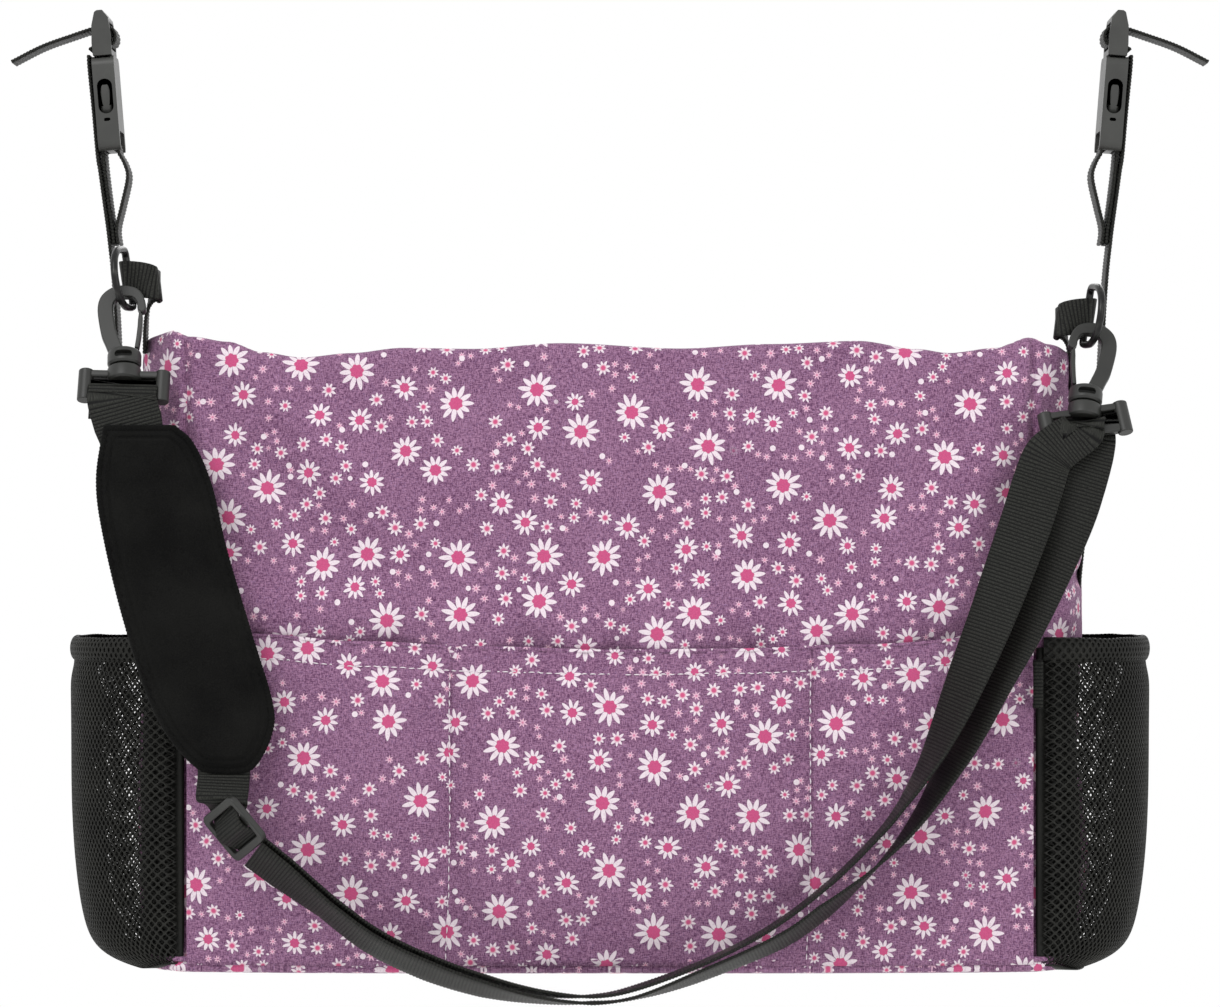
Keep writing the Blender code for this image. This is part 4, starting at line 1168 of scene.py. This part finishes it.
def stroller_strap(name, side):
    """Webbing sewn down the gusset and rising past the buckle, with the short loop that holds its socket."""
    s = side["sign"]
    place = buckle_place(side)
    low = [(227.6, -262), (228.2, -224), (229.2, -200), (233, -165), (238, -125), (240, -95), (241.2, -70),
           (242.6, -50)]
    high = [(4.1, -36), (4.4, -28), (5.2, -14), (6.0, 0), (6.6, 8), (6.8, 30), (7.2, 50), (7.0, 57)]
    points = [Vector((s * x, 0, z)) * MM for x, z in low]
    points += beside_buckle(place, high)
    main_strand = strap(f"{name}_strap", points, [LEVEL] * len(points))
    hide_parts(f"{name}_stroller_strap")
    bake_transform(main_strand)

    turns = [(-0.1, -36), (0, -28), (-3.4, -17), (-7.2, -4), (-6.2, 3), (-4.0, 8), (-3.6, 10.8), (-3.0, 13.2),
             (-1.6, 14.5), (0, 14.8), (1.6, 14.5), (3.0, 13.2), (3.6, 10.6), (3.7, 7), (3.6, 0), (3.0, -14),
             (2.2, -28), (2.0, -36)]
    points = beside_buckle(place, turns)
    loop = strap(f"{name}_socket_loop", points, [LEVEL] * len(points))
    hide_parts(f"{name}_buckle_loop")
    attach(loop, "bag")

    turns = [(6.4, 59.2), (4.6, 60.6), (0, 61.2), (-4.6, 61.4), (-6.3, 63.2), (-6.6, 66), (-5.6, 68.6),
             (-3, 70), (2, 70.2), (5.4, 69.4)]
    points = beside_buckle(place, turns)
    points += [Vector((s * x, 0, z)) * MM for x, z in ((262, 66), (277, 60.6), (292, 53))]
    tail = strap(f"{name}_tail", points, [LEVEL] * len(points), width=24.6 * MM)
    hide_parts(f"{name}_strap_tail")
    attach(tail, f"{name}_clip")


def side_buckle(name, side):
    """A side-release buckle: a hollow socket, a clip with a ladder-lock and two sprung prongs."""
    place = buckle_place(side)
    half = [(12, 22), (15.6, 26), (15.6, 45), (15.6, 60)]
    hollow = [(a * MM, b * MM) for a, b in half] + [(-a * MM, b * MM) for a, b in reversed(half)]
    slot = rounded_box(27 * MM, 6.3 * MM, 2 * MM, 4, (0, 15.65 * MM))
    relief = rounded_box(27 * MM, 11 * MM, 2 * MM, 4, (0, 9.5 * MM))
    outer = rounded_box(35 * MM, 46.2 * MM, 4.5 * MM, 6, (0, 32.6 * MM))
    holes = [(hollow, 7.4 * MM, 0.0), (slot, 16 * MM, 0.0)]
    holes += [(relief, 8 * MM, lift) for lift in (-5.8 * MM, 5.8 * MM)]
    edge = place @ Matrix.Rotation(-math.pi / 2, 4, "Y")
    socket = moulding(f"{name}_socket", outer, 10.8 * MM, place, BUCKLE, 0.0, holes)
    for outline in (rounded_box(7.4 * MM, 17 * MM, 3.6 * MM, 8, (0, 36 * MM)),
                    rounded_box(3.2 * MM, 1.6 * MM, 0.7 * MM, 4, (0, 24.6 * MM))):
        cut_away(socket, slab("window", outline, 60 * MM, edge, BUCKLE))
    rounded(socket, 1.1 * MM, 4)
    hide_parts(f"{name}_buckle_socket")
    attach(socket, "bag")

    profile = [(-4.6, 56), (4.6, 56), (4.8, 62), (4.2, 71), (2.4, 77.4), (1.2, 78.2), (-1.6, 78.2),
               (-4.2, 74.4), (-4.9, 66)]
    clip = slab(f"{name}_clip_plate", [(x * MM, y * MM) for x, y in profile], 32 * MM, edge, BUCKLE)
    for low in (59.1, 68.1):
        window = rounded_box(27 * MM, 4.4 * MM, 1 * MM, 3, (0, (low + 2.1) * MM))
        cut_away(clip, slab("window", window, 16 * MM, place, BUCKLE))
    rounded(clip, 0.9 * MM, 3)
    outline = rounded_box(8 * MM, 28 * MM, 2.5 * MM, 5, (0, 43.5 * MM))
    tongue = moulding(f"{name}_tongue", outline, 4 * MM, place, BUCKLE, 0.7 * MM)
    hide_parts(f"{name}_buckle_clip")
    for piece in (clip, tongue):
        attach(piece, f"{name}_clip")
    for where, turn in (("front", -side["sign"]), ("rear", side["sign"])):
        arm = [(8.6, 55.7), (12.4, 55.7), (13.0, 46), (15.4, 43.4), (16.0, 38), (15.6, 31), (14.6, 27.6),
               (12.4, 25.4), (9.6, 27), (8.8, 42)]
        outline = [(turn * a * MM, b * MM) for a, b in arm]
        prong = moulding(f"{name}_{where}_arm", outline, 5.6 * MM, place, BUCKLE, 1.8 * MM, segments=5)
        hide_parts(f"{name}_{where}_prong")
        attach(prong, f"{name}_{where}_prong")


# ---------------------------------------------------------------- snap hooks


def hook_place(side):
    """The hook's frame: its origin at the pivot, its length down its -Y, its face towards the front."""
    down = Vector((side["turn"] * -0.35, -math.sin(HOOK_LEAN), -math.cos(HOOK_LEAN))).normalized()
    face = Vector((0, -1, 0))
    face = (face - face.dot(down) * down).normalized()
    return axes_matrix((-down).cross(face).normalized(), -down, face, side["pivot"])


def plate_place(side):
    turned = Matrix.Rotation(side["turn"], 4, "Z")
    return hook_place(side) @ Matrix.Translation((0, -PLATE_DROP, 0)) @ turned


HOOK_OUTER = ((-6.6, -35), (-9.2, -28), (-11.4, -22), (-13.2, -10), (-12.0, -3), (-8.0, 1.4), (-3, 3.3),
              (2, 3.1), (6.4, 1.2), (9.2, -3.4), (10.2, -9.4), (8.0, -11.4))
HOOK_INNER = ((6.0, -9.4), (5.6, -5.6), (3.4, -3.0), (0, -2.6), (-3, -3.0), (-5.2, -5.8), (-5.6, -10),
              (-4.2, -20), (-1.0, -29), (4.5, -31), (4.5, -35))


def snap_hook(name, side):
    """A moulded swivel hook with its collar, its sprung gate and the plate it turns in."""
    place = hook_place(side)
    mirror = 1 if side["sign"] < 0 else -1

    def ordered(points):
        flat = [(mirror * p[0], p[1]) for p in points]
        return flat if mirror > 0 else flat[::-1]

    outer = flat_curve(HOOK_OUTER, 4)
    inner = flat_curve(HOOK_INNER[:9], 4)
    outline = [(p.x, p.y) for p in outer + inner] + [(x * MM, y * MM) for x, y in HOOK_INNER[9:]]
    hook = moulding(f"{name}_hook_body", ordered(outline), 4.8 * MM, place, PLASTIC, 1.2 * MM, segments=4)
    profile = ((6.4, -31.2), (7.8, -32.0), (8.2, -33.6), (8.2, -38.2), (7.4, -39.4), (3.0, -39.8), (3.0, -45.6),
               (4.6, -46.1), (4.6, -47.3))
    collar = lathe(f"{name}_collar", profile, place, PLASTIC)
    window = rounded_box(8.4 * MM, 3.0 * MM, 1.3 * MM, 4, (0, -35.4 * MM))
    cut_away(collar, slab("window", window, 12 * MM, place @ Matrix.Translation((0, 0, 10 * MM)), PLASTIC))
    rounded(collar, 0.45 * MM, 3)
    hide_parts(f"{name}_hook")
    for piece in (hook, collar):
        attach(piece, f"{name}_hook")

    outline = ((4.9, -30.2), (6.9, -30.2), (7.8, -24), (8.4, -19.0), (8.6, -12.4), (7.9, -11.5), (6.8, -11.4),
               (6.4, -15), (6.2, -19.0), (5.6, -25))
    outline = ordered([(x * MM, y * MM) for x, y in outline])
    gate = moulding(f"{name}_gate", outline, 5 * MM, place, PLASTIC, 0.6 * MM)
    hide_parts(f"{name}_hook_gate")
    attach(gate, f"{name}_gate")

    plate = plate_place(side)
    ends = rounded_box(39 * MM, 15 * MM, 3.2 * MM, 5, (0, -2.5 * MM))
    slot = rounded_box(34 * MM, 6.4 * MM, 1.5 * MM, 4, (0, -2.0 * MM))
    bar = moulding(f"{name}_plate", ends, 5 * MM, plate, PLASTIC, 1.3 * MM, [(slot, 12 * MM, 0.0)], 4)
    profile = ((7.0, -40.0), (7.8, -40.4), (8.1, -41.2), (8.1, -46.4), (6.8, -47.4))
    boss = lathe(f"{name}_boss", profile, place, PLASTIC)
    rounded(boss, 0.4 * MM, 3)
    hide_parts(f"{name}_swivel_plate")
    pieces = [bar, boss]
    profile = ((3.4, -15.2), (3.7, -14.8), (3.7, 0.4), (3.2, 0.9))
    for label, end in (("outer", -1), ("inner", 1)):
        centre = plate @ Matrix.Translation((end * 18.4 * MM, 4.5 * MM, 0))
        cap = lathe(f"{name}_cap_{label}", profile, centre, PLASTIC, 24)
        pieces.append(rounded(cap, 0.3 * MM, 2))
    for piece in pieces:
        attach(piece, "shoulder_strap")


# ---------------------------------------------------------------- shoulder strap and pad

PAD_OUTLINE = ((-240.5, 0), (-243.6, -24.5), (-240.5, -49.5), (-230.4, -91), (-215.5, -135), (-197, -159.5),
               (-182, -163.2), (-171, -160.5), (-162.9, -145), (-163, -130), (-172.8, -98), (-184.8, -58),
               (-192, -27.5), (-200.5, -8), (-208.8, 0))
PAD_TOP = Vector((0, -71.5, -127)) * MM
PAD_CENTRE = ((-230.5, 3, 0), (-226, -12, 0), (-219.5, -30, 0), (-213, -50, 0), (-202, -91, 0),
              (-189, -135, 0), (-185.5, -151, 0), (-184, -163.5, 0.6))
GLIDE_CENTRE = Vector((-178.5, -88, -317)) * MM
# The adjusting loop's two strands, from the slider to the right plate: a place in millimetres, and the
# direction of the width there
BOTH = (((-168, -88, -327), (0.42, -0.80, 0.42)), ((-155, -88, -337), (0.40, -0.82, 0.40)),
        ((-134, -87, -353), (0.26, -0.92, 0.30)), ((-112, -86, -369.5), (0.25, -0.90, 0.35)),
        ((-86, -86, -382), (0.20, -0.90, 0.38)), ((-60, -86, -390.5), (0.1, -0.93, 0.34)),
        ((-34, -86, -395.5), (0.02, -0.98, 0.18)), ((-8, -86, -397), (0, -1, 0.05)))
FRONT_STRAND = (((14, -86, -392.5), (0, -1, 0)), ((48, -86, -379.5), (0, -1, 0)),
                ((78, -86, -363.5), (0, -1, 0)), ((106, -86, -342), (0, -1, 0)),
                ((128, -86, -320), (0.02, -1, -0.01)),
                ((139, -86, -306), (0.08, -1, -0.03)), ((150.5, -86, -288), (0.25, -0.96, -0.12)),
                ((159, -85.5, -271), (0.45, -0.88, -0.18)), ((169.4, -85, -247), (0.66, -0.72, -0.24)),
                ((182.6, -82, -215), (0.80, -0.52, -0.3)), ((198, -79, -173), (0.94, -0.2, -0.29)),
                ((204.5, -76.5, -153), (0.96, -0.05, -0.27)), ((210.5, -73, -139), (0.97, 0, -0.15)))
REAR_STRAND = (((13, -86, -397.5), (0, -0.99, 0.1)), ((40, -86, -388.5), (-0.1, -0.97, 0.22)),
               ((80, -86, -371.5), (-0.16, -0.94, 0.27)), ((101.5, -86, -357), (-0.17, -0.94, 0.27)),
               ((121, -86, -341), (-0.08, -0.98, 0.1)), ((134, -86, -328), (0.02, -1, 0)),
               ((142.5, -86, -318), (0.1, -0.98, -0.06)), ((151, -85.5, -306), (0.2, -0.96, -0.12)),
               ((160.5, -85, -290), (0.36, -0.91, -0.18)), ((170.5, -84, -273), (0.48, -0.85, -0.2)),
               ((183, -81, -247), (0.66, -0.72, -0.24)), ((199, -77, -216), (0.80, -0.52, -0.3)),
               ((218, -72.5, -173), (0.94, -0.2, -0.29)), ((225, -69, -153), (0.97, -0.05, -0.2)),
               ((229.5, -65, -139), (0.99, 0, -0.08)))


def pad_place():
    """The pad's plane: x across, y up the pad, z to the front."""
    up = Vector((0, math.sin(PAD_LEAN), math.cos(PAD_LEAN)))
    front = Vector((0, -math.cos(PAD_LEAN), math.sin(PAD_LEAN)))
    return axes_matrix(Vector((1, 0, 0)), up, front, PAD_TOP)


def pad_edges():
    """The pad's left and right edges as smooth lines from its top to its lowest point."""
    return flat_curve(PAD_OUTLINE[:7], 16), flat_curve(PAD_OUTLINE[6:][::-1], 16)


def across_at(line, y):
    for a, b in zip(line, line[1:]):
        if (a.y - y) * (b.y - y) <= 0 and abs(a.y - b.y) > 1e-9:
            return a.x + (b.x - a.x) * (a.y - y) / (a.y - b.y)
    return line[0].x if y > line[0].y else line[-1].x


def shoulder_pad():
    """A soft kidney-shaped pad: a stuffed cover with a stitched channel inside its bound edge."""
    place = pad_place()
    left, right = pad_edges()
    low = -163.0 * MM
    lift = 1.6 * MM
    rows, cols = 130, 44
    border = left + right[::-1]

    def from_edge(p):
        return min((p - q).length for q in border[::2])

    verts, pins = [], []
    for side in (1, -1):
        for j in range(rows + 1):
            y = low * (0.5 - 0.5 * math.cos(math.pi * j / rows))
            x0, x1 = across_at(left, y), across_at(right, y)
            for i in range(cols + 1):
                t = 0.5 - 0.5 * math.cos(math.pi * i / cols)
                p = Vector((x0 + (x1 - x0) * t, y, 0))
                d = from_edge(p)
                d = min(d, -y + 0.2 * MM) if y > -6 * MM else d
                full = 1 - math.exp(-((d / (3.4 * MM)) ** 1.3))
                channel = bump(d, 4.6 * MM, 0.9 * MM)
                soft = 0.35 * MM * soft_noise(p.x, p.y, side, 18 * MM)
                if side > 0:
                    height = (0.8 + 4.9 * full) * MM - 1.1 * MM * channel + soft * full
                else:
                    height = -0.6 * MM - 2.6 * MM * full + 0.8 * MM * channel + soft * full
                verts.append(place @ Vector((p.x, p.y, height + lift)))
                pins.append(max(channel, 1 - full * 1.5, 0.0))
    count = (rows + 1) * (cols + 1)
    front = grid_faces(rows + 1, cols + 1)
    faces = front + [tuple(count + i for i in f[::-1]) for f in front]
    rim = [j * (cols + 1) for j in range(rows + 1)] + [rows * (cols + 1) + i for i in range(1, cols + 1)]
    rim += [j * (cols + 1) + cols for j in range(rows - 1, -1, -1)] + list(range(cols - 1, 0, -1))
    faces += [(rim[k], rim[(k + 1) % len(rim)], count + rim[(k + 1) % len(rim)], count + rim[k])
              for k in range(len(rim))]
    pad = facing_out(mesh_piece("pad_body", verts, faces, SUEDE))
    simulate(pad, pins, 3.0, frames=8, grow=0.0, cap=1.2 * MM)
    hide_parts("pad_cover", "pad_foam", "pad_backing")
    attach(pad, "shoulder_pad")

    ring = [place @ (p + Vector((0, 0, lift))) for p in border]
    smooth, _, _ = resampled(ring + ring[:1], ring + ring[:1], 0.45 * MM)
    smooth = smooth[:-1]
    radii = [2.05 * MM + 0.12 * MM * math.sin(k * math.pi / 2) for k in range(len(smooth))]
    binding = rod("pad_binding", smooth, radii, SUEDE, True, 14, up=place.to_3x3() @ Vector((0, 0, 1)))
    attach(binding, "shoulder_pad")


def round_plate_bar(side, tail, shift=0.0):
    """Webbing up in front of a plate's lower bar, over it and down behind, and the direction of its width.

    It slides along the bar by shift, and both are in millimetres.
    """
    place = plate_place(side)
    front = [(-12, 4.2), (-8.5, 3.9), (-5.6, 3.9), (-3.6, 2.9), (-3.0, 0)]
    points = front + [(y, -z) for y, z in reversed(front[:-1])] + [(-tail, -4.6)]
    slid = spaced(-shift, shift, len(points) - 1)
    route = [place @ (Vector((x, y, z)) * MM) for x, (y, z) in zip(slid, points)]
    return route, place.to_3x3() @ Vector((1, 0, 0))


def strand_points(strand):
    return [Vector(place) * MM for place, _ in strand]


def strand_widths(strand):
    return [Vector(across).normalized() for _, across in strand]


def glide_axes():
    """The slider's axes: along its bars, along the webbing's travel, and through its thickness."""
    travel = Vector((0.64, 0, -0.77)).normalized()
    across = Vector(BOTH[0][1])
    across = (across - across.dot(travel) * travel).normalized()
    return across, travel, across.cross(travel)


def shoulder_webbing():
    """The pad's webbing, the slider, and the doubled adjusting loop to the right plate."""
    turn, bar = round_plate_bar(SIDES["left"], 18)
    turn.reverse()
    across, travel, through = glide_axes()
    points = turn + [pad_place() @ (Vector(p) * MM) for p in PAD_CENTRE]
    weave = ((-11, 2.7), (-6.2, 0.4), (-2.4, -2.6), (0, -3.0), (2.4, -2.6), (6.2, 0.4), (10.5, 2.6))
    points.append(Vector((-184.5, -88.5, -302)) * MM)
    points += [GLIDE_CENTRE + (travel * y + through * z) * MM for y, z in weave]
    keys = [bar] * len(turn) + [Vector((1, 0, 0))] * (len(PAD_CENTRE) + 1) + [across] * len(weave)
    wide = [33 * MM] * (len(turn) + 1) + [29 * MM] + [WEB] * (len(points) - len(turn) - 2)
    left = strap("left_webbing", points, keys, sizes=wide)
    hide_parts("shoulder_webbing_left")

    place = axes_matrix(across, travel, through, GLIDE_CENTRE)
    slots = [(rounded_box(26.5 * MM, 6.4 * MM, 1.2 * MM, 3, (0, y * MM)), 10 * MM, 0.0) for y in (-6.2, 6.2)]
    outline = rounded_box(33 * MM, 27 * MM, 4 * MM, 6)
    glide = moulding("slider_frame", outline, 3.2 * MM, place, PLASTIC, 0.9 * MM, slots)
    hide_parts("tri_glide")

    turn, bar = round_plate_bar(SIDES["right"], 15, 5.5)
    turn = turn[1:-2]
    shared, widths = strand_points(BOTH), strand_widths(BOTH)
    under = [c + t.cross(a).normalized() * 3.2 * MM for c, t, a in zip(shared, tangents(shared), widths)]
    ahead, behind = strand_points(FRONT_STRAND), strand_points(REAR_STRAND)
    points = shared + ahead + turn + behind[::-1] + under[::-1]
    keys = widths + strand_widths(FRONT_STRAND) + [bar] * len(turn)
    keys += strand_widths(REAR_STRAND[::-1]) + widths[::-1]
    up = len(shared) + len(ahead) - 1
    down = len(under) + len(behind) - 1
    wide = [WEB] * up + [24 * MM] + [22 * MM] * len(turn) + [24 * MM] + [WEB] * down
    loop = strap("adjusting_loop", points, keys, sizes=wide)
    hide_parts("shoulder_webbing_loop")
    for piece in (left, glide, loop):
        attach(piece, "shoulder_strap")


# ---------------------------------------------------------------- stage


def area_light(name, place, aim, size, power):
    data = bpy.data.lights.new(name, "AREA")
    data.shape, data.size, data.energy = "SQUARE", size, power
    lamp = bpy.data.objects.new(name, data)
    bpy.context.scene.collection.objects.link(lamp)
    lamp.location = place
    lamp.rotation_euler = (Vector(aim) - Vector(place)).to_track_quat("-Z", "Y").to_euler()


def stage():
    """A pale floor well below, a white world, soft lamps and the camera."""
    world = bpy.data.worlds.new("studio")
    world.use_nodes = True
    world.node_tree.nodes["Background"].inputs["Color"].default_value = (1.0, 1.0, 1.0, 1.0)
    world.node_tree.nodes["Background"].inputs["Strength"].default_value = 1.0
    bpy.context.scene.world = world

    floor = slab("studio_floor", rounded_box(1.2, 1.2, 0.05), 10 * MM, Matrix.Translation((0, 0, -0.60)),
                 moulded("floor_paint", 240, 0.9))
    area_light("key", (-0.9, -1.6, 1.3), (0, 0, -0.2), 1.2, 16)
    area_light("fill", (1.3, -1.4, 0.3), (0, 0, -0.2), 1.4, 5)
    area_light("back", (0.4, 1.6, 1.0), (0, 0, -0.2), 1.2, 10)

    data = bpy.data.cameras.new("camera")
    data.sensor_width, data.lens = 36, 184.4
    camera = bpy.data.objects.new("camera", data)
    bpy.context.scene.collection.objects.link(camera)
    camera.location = (0, -3.06, -0.1625)
    camera.rotation_euler = (math.radians(90), 0, 0)
    bpy.context.scene.camera = camera
    bpy.context.scene.view_settings.view_transform = "Standard"


def build():
    bag_body()
    bag_base()
    top_closure()
    zip_teeth()
    front_pocket()
    for name, side in SIDES.items():
        mesh_pocket(name, side["sign"])
        pocket_tab(name, side["sign"])
        ring_and_loop(name, side)
        stroller_strap(name, side)
        side_buckle(name, side)
        snap_hook(name, side)
    shoulder_pad()
    shoulder_webbing()
    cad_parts["base_board"].material_slots[0].material = moulded("board", 150, 0.7)
    stage()


build()
